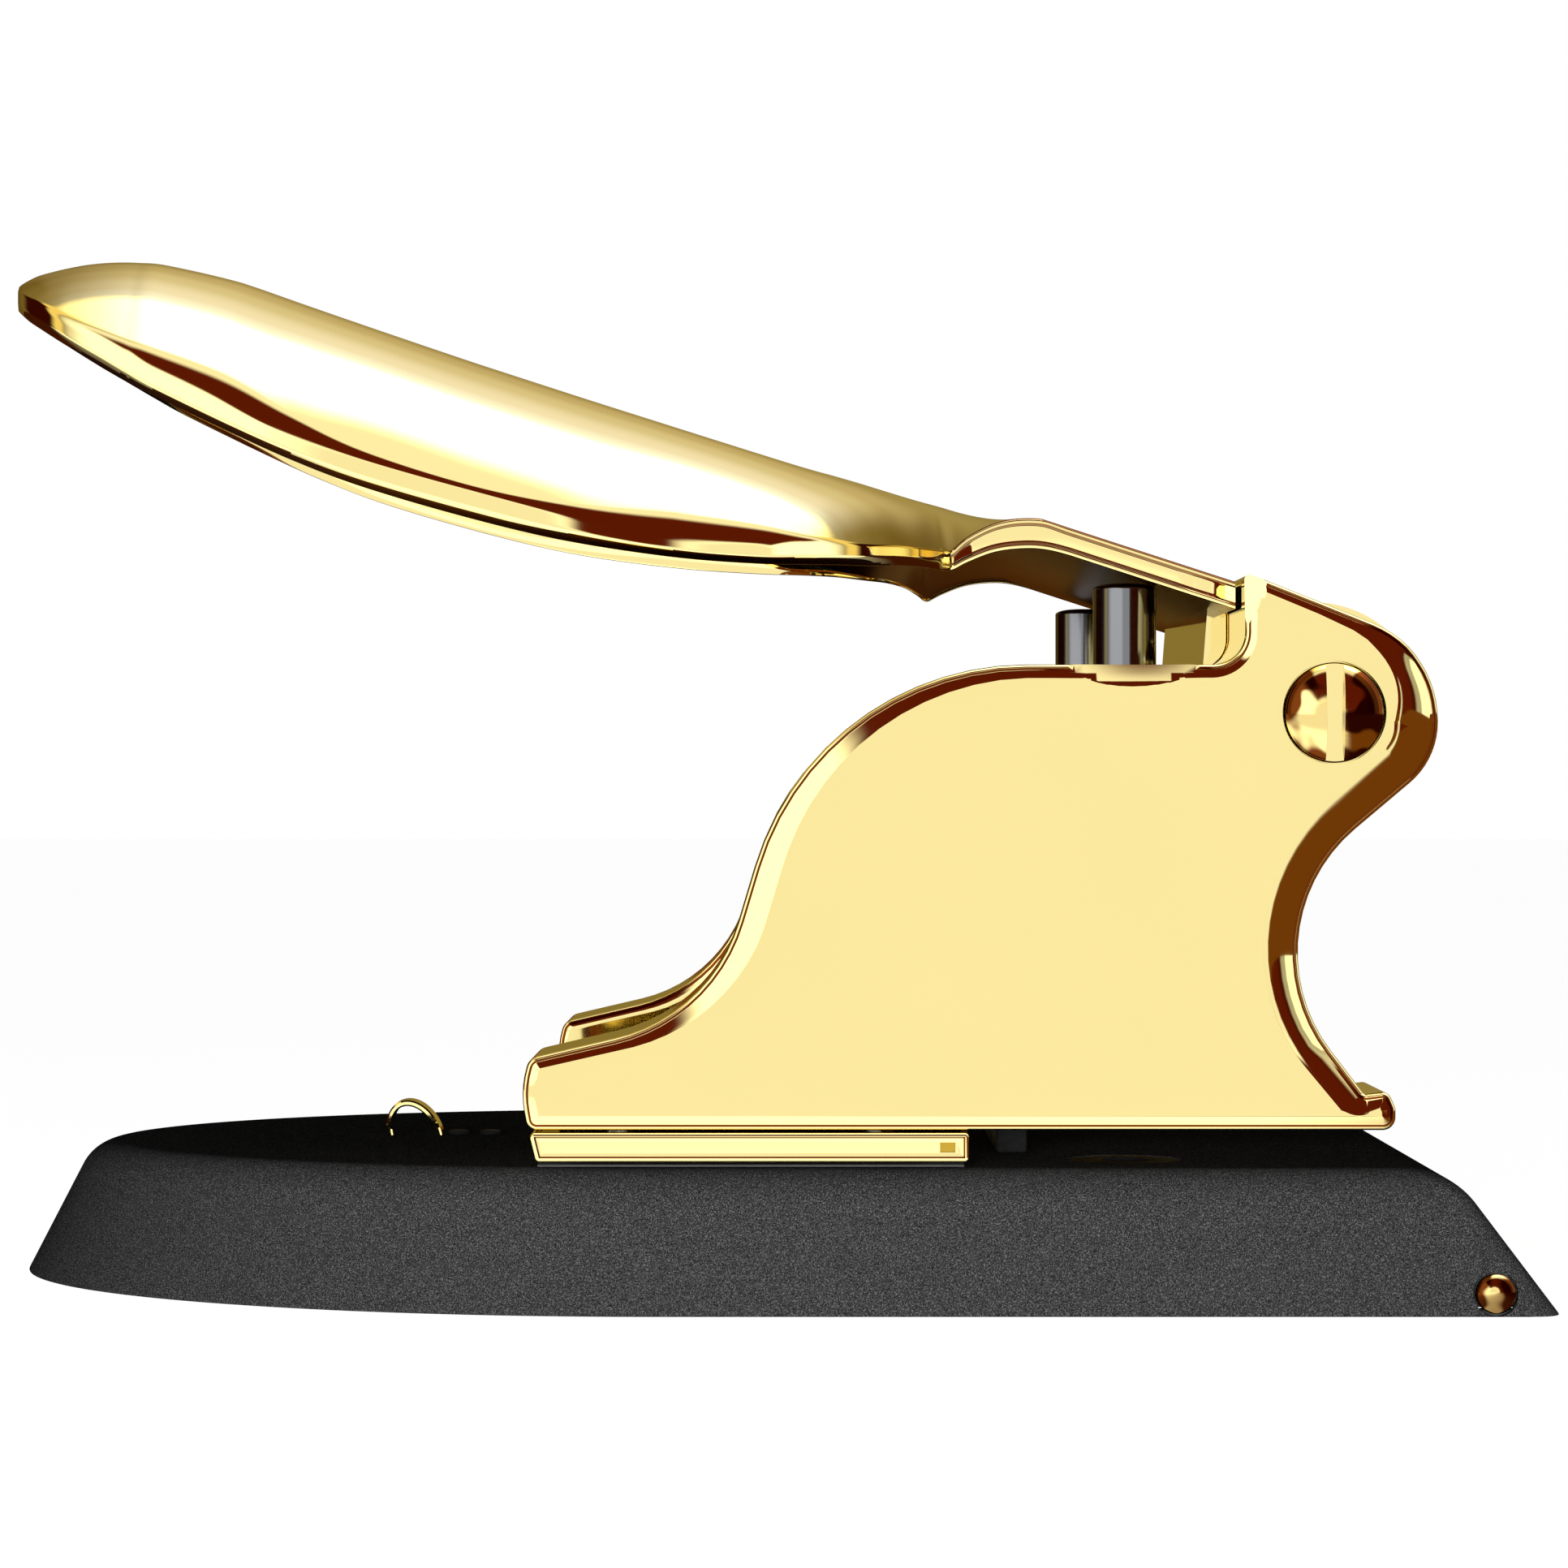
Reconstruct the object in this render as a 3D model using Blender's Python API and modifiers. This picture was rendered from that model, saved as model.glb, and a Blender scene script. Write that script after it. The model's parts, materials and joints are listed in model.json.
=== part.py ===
"""Two-hole desk punch: gold side cheeks and a spoon-handled lever on a black cast base.

Units are metres, +Z is up and +X points to the rear, where the paper goes in. The origin is
under the middle of the whole punch, on the surface that it stands on. The near side is at -Y.
"""

import math

import bmesh
import bpy
from mathutils import Matrix, Vector

# Clearances
GAP = 0.0003  # between pieces that rest on, or seat in, each other
RUN = 0.0002  # radial clearance of a shaft or a pin that moves in its bush

# Base casting
BASE_REAR_X = 0.0993  # rear edge at the bottom
BASE_LENGTH = 0.1967
BASE_WIDTH = 0.1250
BASE_BOTTOM = 0.0002  # the casting's lip stays just clear of the table
BASE_TOP = 0.0176
NOSE_LENGTH = 0.0862  # the half ellipse in front of the straight sides
FRONT_RUN, SIDE_RUN, REAR_RUN = 0.0090, 0.0055, 0.0127  # how far each face leans in
FRONT_ROUND, SIDE_ROUND, REAR_ROUND = 0.0060, 0.0060, 0.0100
BASE_CORNER = 0.0025
BASE_WALL = 0.0045  # at the rim, around the chip space
BASE_ROOF = 0.0040
SKIRT_HEIGHT = 0.0054  # the chip space has upright walls up to here
LIP = 0.0013
REBATE_TOP = 0.0012
GASKET_WIDTH = 0.0023
GASKET_THICKNESS = 0.0009

# Cheeks, the two side castings
CHEEK_INNER = 0.0345
CHEEK_OUTER = 0.0560
CHEEK_BOTTOM = 0.02245
CHEEK_BEVEL = 0.0011
CHEEK_TOE_X = -0.0273
CHEEK_HEEL_X = 0.0787
CROWN_TOP = 0.0799
SHOULDER_X = 0.06125
SHOULDER_TOP = 0.0913
SCOOP_RADIUS = 0.0346
SCOOP_OUT = 0.0300  # the scoop's centre is this far outside the cheek
SCOOP_UP = 0.0143  # and this far above its crown
SOLE_LENGTH = 0.0545
SOLE_PAD = 0.0003  # thickness of the black pad under each sole bar

# Pivot of the lever
PIVOT_X = 0.0722
PIVOT_Z = 0.07395
LOBE_RADIUS = 0.0131  # of the cheek around the pivot
SHAFT_RADIUS = 0.0050
PIVOT_HEAD_RADIUS = 0.0062
PIVOT_HEAD_DEPTH = 0.0046
PIVOT_DOME = 0.0005
PIVOT_SLOT = 0.0022
PIVOT_SHANK_RADIUS = 0.0026
PIVOT_SHANK_LENGTH = 0.0100
WASHER_RADIUS = 0.0090
WASHER_THICKNESS = 0.0014
HUB_RADIUS = 0.0146
HUB_ROOT = 0.0175  # how far in front of the pivot the hub's root reaches under the plate
HUB_BUSH_WALL = 0.0013
HUB_BUSH_LENGTH = 0.0115

# Lever with its spoon handle
LEVER_SLOPE = math.radians(18.0)
LEVER_ABOVE_PIVOT = 0.01228  # the plate's top face, square to its slope
LEVER_THICKNESS = 0.0033
LEVER_HALF_WIDTH = 0.0470
LEVER_END_GAP = 0.0004  # to the cheeks' shoulders, which are its upper stop
LEVER_TIP_X = -0.0993
SPOON_HALF_WIDTH = 0.0204
SPOON_NECK_HALF_WIDTH = 0.0160

# Punching
PIN_SPACING = 0.0800  # the standard spacing of two filing holes
PIN_X = 0.0475
HOLE_RADIUS = 0.0030
PIN_HEAD_RADIUS = 0.0040
PIN_TOP = 0.0906
PIN_DOME = 0.0008
PIN_TIP_ABOVE_CHEEK_BOTTOM = 0.0005
COLLAR_RADIUS = 0.0045
COLLAR_BOTTOM, COLLAR_TOP = 0.0700, 0.0720
PIN_BORE_RADIUS = 0.0049
GUIDE_HEIGHT = 0.0135
SLEEVE_HEIGHT = 0.0045
SPRING_WIRE = 0.0010
SPRING_RADIUS = 0.00392
SPRING_TURNS = 8
DIE_FLANGE_RADIUS = 0.0070
DIE_NECK_RADIUS = 0.0050
DIE_FLANGE = 0.0028
STOP_TO_HOLE = 0.0120  # the paper's edge to the middle of its holes
STOP_WIDTH = 0.0040
STOP_HEIGHT = 0.0036

# Screws from below
SCREW_RADIUS = 0.0023
SCREW_HEAD_RADIUS = 0.0042
SCREW_HEAD_HEIGHT = 0.0035
CHEEK_SCREW_GRIP = 0.0120  # how far it reaches into the cheek
CHEEK_SCREW_X = (-0.0160, 0.0160)
STOP_SCREW_RADIUS = 0.0012
STOP_SCREW_HEAD_RADIUS = 0.0024

# Chip lid and its hinge
LID_THICKNESS = 0.0014
LID_BOTTOM = 0.0009
LID_PIN_RADIUS = 0.0011
LID_PIN_X = BASE_REAR_X - 0.0081
LID_PIN_Z = 0.00295
LID_BARREL_RADIUS = 0.0021
LID_BARREL_HALF = BASE_WIDTH / 2 - 0.0085  # it stops short of the base's inner sides
LID_NARROW = 0.0012  # the plate is this much narrower on each side at the hinge
LID_NARROW_LENGTH = 0.0042
CAP_RADIUS = 0.00245
CAP_SEAT = 0.0020  # how deep the cap's pocket goes in from the base's edge

# Finger loop on the base's front
LOOP_X = -0.0455
LOOP_HALF_LENGTH = 0.0033
LOOP_HEIGHT = 0.0043
LOOP_WIDTH = 0.0050
LOOP_THICKNESS = 0.0008
LOOP_LEAN = 0.0010
RIVET_RADIUS = 0.0014
RIVET_HEIGHT = 0.0004
RIVET_SPACING = 0.0043

ROUND_STEPS = 20  # sides of a round piece

PIN_Y = PIN_SPACING / 2
CAVITY_TOP = BASE_TOP - BASE_ROOF
SIDES = {"near": -1, "far": 1}


# ---------------------------------------------------------------- scene and materials


def clear_scene():
    for obj in list(bpy.data.objects):
        bpy.data.objects.remove(obj)


def new_collection(name):
    collection = bpy.data.collections.new(name)
    bpy.context.scene.collection.children.link(collection)
    return collection


def new_material(name, color, metallic, roughness):
    material = bpy.data.materials.new(name)
    material.use_nodes = True
    shader = material.node_tree.nodes["Principled BSDF"]
    shader.inputs["Base Color"].default_value = (*color, 1)
    shader.inputs["Metallic"].default_value = metallic
    shader.inputs["Roughness"].default_value = roughness
    return material


clear_scene()
PARTS = new_collection("hole_punch")
CUTTERS = new_collection("cutters")
GOLD = new_material("polished_gold", (0.83, 0.58, 0.17), 1.0, 0.12)
BLACK = new_material("black_powder_coat", (0.015, 0.015, 0.016), 0.0, 0.55)
STEEL = new_material("polished_steel", (0.62, 0.63, 0.65), 1.0, 0.18)
BRONZE = new_material("bearing_bronze", (0.55, 0.33, 0.14), 1.0, 0.35)
PLASTIC = new_material("black_plastic", (0.018, 0.018, 0.019), 0.0, 0.45)
RUBBER = new_material("black_rubber", (0.02, 0.02, 0.02), 0.0, 0.85)


# ---------------------------------------------------------------- shape tools


def add_object(name, mesh, material, origin=(0, 0, 0)):
    """Puts the mesh in an object with its origin at this point; without a material, a cutter."""
    obj = bpy.data.objects.new(name, mesh)
    obj.location = origin
    if material is None:
        obj.hide_render = True
        obj.display_type = "WIRE"
        CUTTERS.objects.link(obj)
    else:
        mesh.materials.append(material)
        PARTS.objects.link(obj)
    return obj


def finish_mesh(bm, name, origin=(0, 0, 0)):
    bmesh.ops.translate(bm, vec=-Vector(origin), verts=bm.verts)
    bmesh.ops.recalc_face_normals(bm, faces=bm.faces)
    mesh = bpy.data.meshes.new(name)
    bm.to_mesh(mesh)
    bm.free()
    mesh.shade_smooth()
    mesh.set_sharp_from_angle(angle=math.radians(35))
    return mesh


def turned(name, profile, base, axis, material):
    """A profile of (radius, height) points, from its top down its outer side, turned on an axis.
    One that doesn't start on the axis is a ring's, and is closed."""
    mesh = bpy.data.meshes.new(name)
    count = len(profile)
    edges = [(i, i + 1) for i in range(count - 1)]
    if profile[0][0] > 0:
        edges.append((count - 1, 0))
    mesh.from_pydata([(radius, 0, height) for radius, height in profile], edges, [])
    obj = add_object(name, mesh, material, base)
    obj.rotation_euler = Vector((0, 0, 1)).rotation_difference(Vector(axis)).to_euler()
    screw = obj.modifiers.new("turn", "SCREW")
    screw.steps = screw.render_steps = ROUND_STEPS
    screw.use_merge_vertices = True
    screw.merge_threshold = 1e-5
    screw.use_smooth_shade = False
    return obj


def rod_profile(radius, top, bottom=0.0, edge=0.0002):
    """A solid cylinder with broken edges."""
    return [
        (0, top),
        (radius - edge, top),
        (radius, top - edge),
        (radius, bottom + edge),
        (radius - edge, bottom),
        (0, bottom),
    ]


def ring_profile(outer, inner, top, bottom=0.0):
    return [(outer, top), (outer, bottom), (inner, bottom), (inner, top)]


def dome_profile(radius, seat, height, steps=3):
    """A short cylinder from seat up to 0, with a shallow dome of the given height on it."""
    dome = [
        (radius * math.sin(angle), height * math.cos(angle))
        for angle in (math.pi / 2 * step / steps for step in range(steps + 1))
    ]
    return dome + [(radius, seat), (0, seat)]


def loft(name, rings, material, origin=(0, 0, 0)):
    """Joins rings of points, with the same count in each, and closes the first and the last."""
    bm = bmesh.new()
    loops = [[bm.verts.new(point) for point in ring] for ring in rings]
    for lower, upper in zip(loops, loops[1:]):
        for i in range(len(lower)):
            j = (i + 1) % len(lower)
            bm.faces.new((lower[i], lower[j], upper[j], upper[i]))
    bm.faces.new(loops[0])
    bm.faces.new(loops[-1])
    return add_object(name, finish_mesh(bm, name, origin), material, origin)


def box(name, low, high, material, bevel=0.0):
    bm = bmesh.new()
    bmesh.ops.create_cube(bm, size=1)
    low, high = Vector(low), Vector(high)
    bmesh.ops.scale(bm, vec=high - low, verts=bm.verts)
    bmesh.ops.translate(bm, vec=(low + high) / 2, verts=bm.verts)
    if bevel:
        bmesh.ops.bevel(bm, geom=bm.edges, offset=bevel, segments=2, profile=0.5, affect="EDGES")
    return add_object(name, finish_mesh(bm, name), material)


def cylinder_cutter(name, radius, start, end):
    start, end = Vector(start), Vector(end)
    bm = bmesh.new()
    bmesh.ops.create_cone(
        bm,
        cap_ends=True,
        segments=ROUND_STEPS,
        radius1=radius,
        radius2=radius,
        depth=(end - start).length,
    )
    turn = Vector((0, 0, 1)).rotation_difference(end - start).to_matrix().to_4x4()
    bmesh.ops.transform(bm, matrix=Matrix.Translation((start + end) / 2) @ turn, verts=bm.verts)
    return add_object(name, finish_mesh(bm, name), None)


def combine(obj, other, operation="DIFFERENCE"):
    modifier = obj.modifiers.new(other.name, "BOOLEAN")
    modifier.operation = operation
    modifier.object = other


def left_normal(direction):
    return Vector((-direction.y, direction.x))


def rounded_outline(corners, inset=0.0, step=math.radians(15)):
    """Points of an anticlockwise polygon of (x, z, radius) corners, drawn in by inset."""
    points = []
    for i, (x, z, radius) in enumerate(corners):
        corner = Vector((x, z))
        before = (corner - Vector(corners[i - 1][:2])).normalized()
        after = (Vector(corners[(i + 1) % len(corners)][:2]) - corner).normalized()
        turn = math.atan2(before.cross(after), before.dot(after))
        normals = left_normal(before) + left_normal(after)
        corner += normals * inset / (1 + before.dot(after))
        radius = max(radius - math.copysign(inset, turn), 0.00005)
        start = corner - before * radius * math.tan(abs(turn) / 2)
        centre = start + left_normal(before) * math.copysign(radius, turn)
        count = max(1, math.ceil(abs(turn) / step))
        spoke = start - centre
        points += [centre + Matrix.Rotation(turn * k / count, 2) @ spoke for k in range(count + 1)]
    return points


def extruded_outline(name, corners, side, inner, outer, bevel, material, bevel_steps=2):
    """A plate of this outline in the XZ plane, between two |y|, with its outer edge rounded."""
    sections = [(inner, bevel / 2), (inner + bevel / 2, 0)]
    for step in range(bevel_steps + 1):
        angle = math.pi / 2 * step / bevel_steps
        sections.append((outer - bevel * (1 - math.sin(angle)), bevel * (1 - math.cos(angle))))
    rings = [
        [(p.x, side * y, p.y) for p in rounded_outline(corners, inset)] for y, inset in sections
    ]
    return loft(name, rings, material)


# ---------------------------------------------------------------- base


def base_outline(front, side, rear, z, nose_steps=30):
    """The base's plan at one height, drawn in by these amounts at front, sides and rear."""
    half_width = BASE_WIDTH / 2 - side
    nose_x = BASE_REAR_X - BASE_LENGTH + NOSE_LENGTH
    rear_x = BASE_REAR_X - rear
    points = []
    for step in range(nose_steps + 1):
        angle = math.pi / 2 + math.pi * step / nose_steps
        points.append(
            (
                nose_x + (NOSE_LENGTH - front) * math.cos(angle),
                half_width * math.sin(angle),
                z,
            )
        )
    for sign in (-1, 1):
        for step in range(4):
            angle = math.pi / 2 * (step / 3 if sign < 0 else 1 - step / 3)
            points.append(
                (
                    rear_x - BASE_CORNER * (1 - math.sin(angle)),
                    sign * (half_width - BASE_CORNER * (1 - math.cos(angle))),
                    z,
                )
            )
    return points


def lean(run, radius, z):
    """How far a leaning face of the base has come in at height z, with its rounded top edge."""
    height = BASE_TOP - BASE_BOTTOM
    rise = z - BASE_BOTTOM
    slope = math.atan2(run, height)
    if rise <= height - radius * (1 - math.sin(slope)):
        return run * rise / height
    centre = run * (height - radius) / height + radius / math.cos(slope)
    return centre - math.sqrt(max(radius**2 - (rise - height + radius) ** 2, 0))


def base_levels():
    """Heights of the base's rings: closer together where its top edge rounds over."""
    levels = {BASE_BOTTOM, BASE_TOP}
    for radius in (REAR_ROUND, SIDE_ROUND):
        for step in range(1, 4):
            levels.add(BASE_TOP - radius * (1 - math.sin(math.pi / 2 * step / 4)))
    levels.add(BASE_TOP - REAR_ROUND * (1 - math.sin(math.atan2(REAR_RUN, BASE_TOP))))
    return sorted(levels)


def ring_at(z):
    return base_outline(
        lean(FRONT_RUN, FRONT_ROUND, z),
        lean(SIDE_RUN, SIDE_ROUND, z),
        lean(REAR_RUN, REAR_ROUND, z),
        z,
    )


def cavity_ring(z, extra=0.0):
    """The chip space's plan: upright behind the skirt, then leaning in under the roof."""
    rise = max(z - SKIRT_HEIGHT, 0) / (BASE_TOP - BASE_BOTTOM)
    wall = BASE_WALL + extra
    return base_outline(
        wall + 0.0010 + FRONT_RUN * rise,
        wall + SIDE_RUN * rise,
        wall + 0.0009 + REAR_RUN * rise,
        z,
    )


def make_base():
    base = loft("base_casting", [ring_at(z) for z in base_levels()], BLACK)
    below = BASE_BOTTOM - 0.002
    cavity = loft(
        "chip_space_cutter",
        [cavity_ring(z) for z in (below, SKIRT_HEIGHT, CAVITY_TOP)],
        None,
    )
    rebate = loft(
        "gasket_rebate_cutter",
        [base_outline(LIP, LIP, LIP, z) for z in (below, REBATE_TOP)],
        None,
    )
    combine(base, rebate)
    combine(base, cavity)
    for side in SIDES.values():
        y = side * PIN_Y
        flange_floor = BASE_TOP - DIE_FLANGE - GAP
        combine(
            base,
            cylinder_cutter(
                f"die_seat_{side}",
                DIE_FLANGE_RADIUS + GAP,
                (PIN_X, y, flange_floor),
                (PIN_X, y, BASE_TOP + 0.002),
            ),
        )
        combine(
            base,
            cylinder_cutter(
                f"die_neck_hole_{side}",
                DIE_NECK_RADIUS + GAP,
                (PIN_X, y, CAVITY_TOP - 0.002),
                (PIN_X, y, flange_floor + 0.001),
            ),
        )
        for x in CHEEK_SCREW_X:
            centre_y = side * (CHEEK_INNER + CHEEK_OUTER) / 2
            combine(
                base,
                cylinder_cutter(
                    f"base_screw_hole_{side}",
                    SCREW_RADIUS + GAP,
                    (x, centre_y, CAVITY_TOP - 0.002),
                    (x, centre_y, BASE_TOP + 0.002),
                ),
            )
        combine(
            base,
            cylinder_cutter(
                f"stop_screw_hole_{side}",
                STOP_SCREW_RADIUS + GAP,
                (stop_x(), side * CHEEK_INNER / 2, CAVITY_TOP - 0.002),
                (stop_x(), side * CHEEK_INNER / 2, BASE_TOP + 0.002),
            ),
        )
        edge_y = BASE_WIDTH / 2
        combine(
            base,
            cylinder_cutter(
                f"lid_pin_hole_{side}",
                LID_PIN_RADIUS + GAP,
                (LID_PIN_X, side * (edge_y - BASE_WALL - 0.002), LID_PIN_Z),
                (LID_PIN_X, side * (edge_y - CAP_SEAT + 0.0005), LID_PIN_Z),
            ),
        )
        combine(
            base,
            cylinder_cutter(
                f"lid_cap_seat_{side}",
                CAP_RADIUS + GAP,
                (LID_PIN_X, side * (edge_y - CAP_SEAT), LID_PIN_Z),
                (LID_PIN_X, side * (edge_y + 0.002), LID_PIN_Z),
            ),
        )


def make_gasket():
    """A flat rubber ring under the rim, which the whole punch stands on."""
    outer, inner = LIP + GAP, LIP + GAP + GASKET_WIDTH
    gasket = loft(
        "base_gasket",
        [base_outline(outer, outer, outer, z) for z in (0, GASKET_THICKNESS)],
        RUBBER,
    )
    opening = loft(
        "gasket_opening_cutter",
        [base_outline(inner, inner, inner, z) for z in (-0.001, GASKET_THICKNESS + 0.001)],
        None,
    )
    combine(gasket, opening)


def lid_outline(z):
    """The lid's plate. It narrows at the hinge, to clear the base's rear corners as it swings."""
    nose = [(x, y, z) for x, y, _ in cavity_ring(0, GAP)[:-8]]
    half_width = nose[0][1]
    narrow_x = LID_PIN_X - LID_NARROW_LENGTH
    narrow_y = half_width - LID_NARROW
    hinge_side = [(narrow_x, half_width), (narrow_x + LID_NARROW, narrow_y), (LID_PIN_X, narrow_y)]
    near = [(x, -y, z) for x, y in hinge_side]
    far = [(x, y, z) for x, y in reversed(hinge_side)]
    return nose + near + far


def make_lid():
    """The chip lid: a plate in the base's open bottom, rolled round its hinge pin at the rear."""
    origin = (LID_PIN_X, 0, LID_PIN_Z)
    plate = [lid_outline(z) for z in (LID_BOTTOM, LID_BOTTOM + LID_THICKNESS)]
    lid = loft("chip_lid", plate, PLASTIC, origin)
    barrel_ends = [(LID_PIN_X, side * LID_BARREL_HALF, LID_PIN_Z) for side in (-1, 1)]
    combine(lid, cylinder_cutter("lid_barrel", LID_BARREL_RADIUS, *barrel_ends), "UNION")
    bore_ends = [(x, y * 1.1, z) for x, y, z in barrel_ends]
    combine(lid, cylinder_cutter("lid_bore_cutter", LID_PIN_RADIUS + RUN, *bore_ends))


def make_lid_hinge():
    pin_half = BASE_WIDTH / 2 - CAP_SEAT - GAP
    turned(
        "lid_hinge_pin",
        rod_profile(LID_PIN_RADIUS, pin_half, -pin_half),
        (LID_PIN_X, 0, LID_PIN_Z),
        (0, 1, 0),
        STEEL,
    )
    for name, side in SIDES.items():
        turned(
            f"lid_pin_cap_{name}",
            dome_profile(CAP_RADIUS, -0.0007, 0.0006),
            (LID_PIN_X, side * (BASE_WIDTH / 2 - CAP_SEAT + 0.0012), LID_PIN_Z),
            (0, side, 0),
            GOLD,
        )


# ---------------------------------------------------------------- cheeks and sole bars


def cheek_corners():
    """The cheek's outline: toe, heel bead, hollow back, lobe at the pivot, shoulder and crown."""
    lobe_x = PIVOT_X + LOBE_RADIUS
    return [
        (CHEEK_TOE_X, CHEEK_BOTTOM, 0.0014),
        (CHEEK_HEEL_X + 0.0011, CHEEK_BOTTOM, 0.0016),
        (CHEEK_HEEL_X + 0.0011, CHEEK_BOTTOM + 0.0027, 0.0012),
        (CHEEK_HEEL_X + 0.0002, CHEEK_BOTTOM + 0.0048, 0.0012),
        (CHEEK_HEEL_X - 0.0027, CHEEK_BOTTOM + 0.0044, 0.0004),
        (PIVOT_X - 0.0117, PIVOT_Z - 0.0266, 0.0200),
        (lobe_x, PIVOT_Z - 0.0057, 0.0098),
        (lobe_x, PIVOT_Z + 0.0078, 0.0130),
        (SHOULDER_X, SHOULDER_TOP, 0.0012),
        (SHOULDER_X, CROWN_TOP, 0.0040),
        (CHEEK_TOE_X + 0.0355, CROWN_TOP, 0.0350),
        (CHEEK_TOE_X + 0.0225, CHEEK_BOTTOM + 0.0141, 0.0210),
        (CHEEK_TOE_X + 0.0002, CHEEK_BOTTOM + 0.0089, 0.0018),
        (CHEEK_TOE_X - 0.0009, CHEEK_BOTTOM + 0.0050, 0.0120),
    ]


def make_cheek(name, side):
    cheek = extruded_outline(
        f"cheek_{name}",
        cheek_corners(),
        side,
        CHEEK_INNER,
        CHEEK_OUTER,
        CHEEK_BEVEL,
        GOLD,
    )
    y = side * PIN_Y
    combine(
        cheek,
        cylinder_cutter(
            f"pin_bore_{name}",
            PIN_BORE_RADIUS,
            (PIN_X, y, CHEEK_BOTTOM - 0.002),
            (PIN_X, y, CROWN_TOP + 0.002),
        ),
    )
    shaft_seat = CHEEK_OUTER - PIVOT_HEAD_DEPTH
    combine(
        cheek,
        cylinder_cutter(
            f"shaft_bore_{name}",
            SHAFT_RADIUS + GAP,
            (PIVOT_X, side * (CHEEK_INNER - 0.002), PIVOT_Z),
            (PIVOT_X, side * (shaft_seat + 0.001), PIVOT_Z),
        ),
    )
    combine(
        cheek,
        cylinder_cutter(
            f"pivot_head_seat_{name}",
            PIVOT_HEAD_RADIUS + RUN,
            (PIVOT_X, side * shaft_seat, PIVOT_Z),
            (PIVOT_X, side * (CHEEK_OUTER + 0.002), PIVOT_Z),
        ),
    )
    centre_y = side * (CHEEK_INNER + CHEEK_OUTER) / 2
    for index, x in enumerate(CHEEK_SCREW_X):
        combine(
            cheek,
            cylinder_cutter(
                f"cheek_thread_{name}_{index}",
                SCREW_RADIUS + GAP,
                (x, centre_y, CHEEK_BOTTOM - 0.002),
                (x, centre_y, CHEEK_BOTTOM + CHEEK_SCREW_GRIP * 0.75),
            ),
        )
    bm = bmesh.new()
    bmesh.ops.create_uvsphere(bm, u_segments=40, v_segments=24, radius=SCOOP_RADIUS)
    centre = (PIN_X, side * (CHEEK_OUTER + SCOOP_OUT), CROWN_TOP + SCOOP_UP)
    bmesh.ops.translate(bm, vec=centre, verts=bm.verts)
    scoop = f"scoop_cutter_{name}"
    combine(cheek, add_object(scoop, finish_mesh(bm, scoop), None))


def make_sole_bar(name, side):
    """The bar between the base and the front half of a cheek; its rear end opens the slot."""
    low, high = BASE_TOP + SOLE_PAD + 2 * GAP, CHEEK_BOTTOM - GAP
    rear = CHEEK_TOE_X + SOLE_LENGTH
    corners = [
        (CHEEK_TOE_X + 0.0006, low, 0.0007),
        (rear, low, 0.0007),
        (rear, high, 0.0007),
        (CHEEK_TOE_X, high, 0.0007),
    ]
    bar = extruded_outline(
        f"sole_bar_{name}", corners, side, CHEEK_INNER, CHEEK_OUTER, 0.0005, GOLD
    )
    pad_y = sorted((side * (CHEEK_INNER + 0.0006), side * (CHEEK_OUTER - 0.0006)))
    pad = box(
        f"sole_pad_{name}",
        (CHEEK_TOE_X + 0.0012, pad_y[0], BASE_TOP + GAP),
        (rear - 0.0006, pad_y[1], BASE_TOP + GAP + SOLE_PAD),
        RUBBER,
    )
    centre_y = side * (CHEEK_INNER + CHEEK_OUTER) / 2
    for index, x in enumerate(CHEEK_SCREW_X):
        hole = cylinder_cutter(
            f"sole_hole_{name}_{index}",
            SCREW_RADIUS + GAP,
            (x, centre_y, BASE_TOP - 0.002),
            (x, centre_y, high + 0.002),
        )
        combine(bar, hole)
        combine(pad, hole)


def screw_profile(shank_radius, head_radius, head_height, length):
    """A cheese-head screw, its shank's tip at the top and its head at the bottom."""
    edge = 0.0003
    return [
        (0, length),
        (shank_radius - edge, length),
        (shank_radius, length - edge),
        (shank_radius, 0),
        (head_radius, 0),
        (head_radius, edge - head_height),
        (head_radius - edge, -head_height),
        (0, -head_height),
    ]


def make_cheek_screws():
    seat = CAVITY_TOP - GAP
    length = CHEEK_BOTTOM + CHEEK_SCREW_GRIP * 0.7 - seat
    for name, side in SIDES.items():
        centre_y = side * (CHEEK_INNER + CHEEK_OUTER) / 2
        for place, x in zip(("front", "rear"), CHEEK_SCREW_X):
            turned(
                f"cheek_screw_{name}_{place}",
                screw_profile(SCREW_RADIUS, SCREW_HEAD_RADIUS, SCREW_HEAD_HEIGHT, length),
                (x, centre_y, seat),
                (0, 0, 1),
                STEEL,
            )


# ---------------------------------------------------------------- pivot


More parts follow.
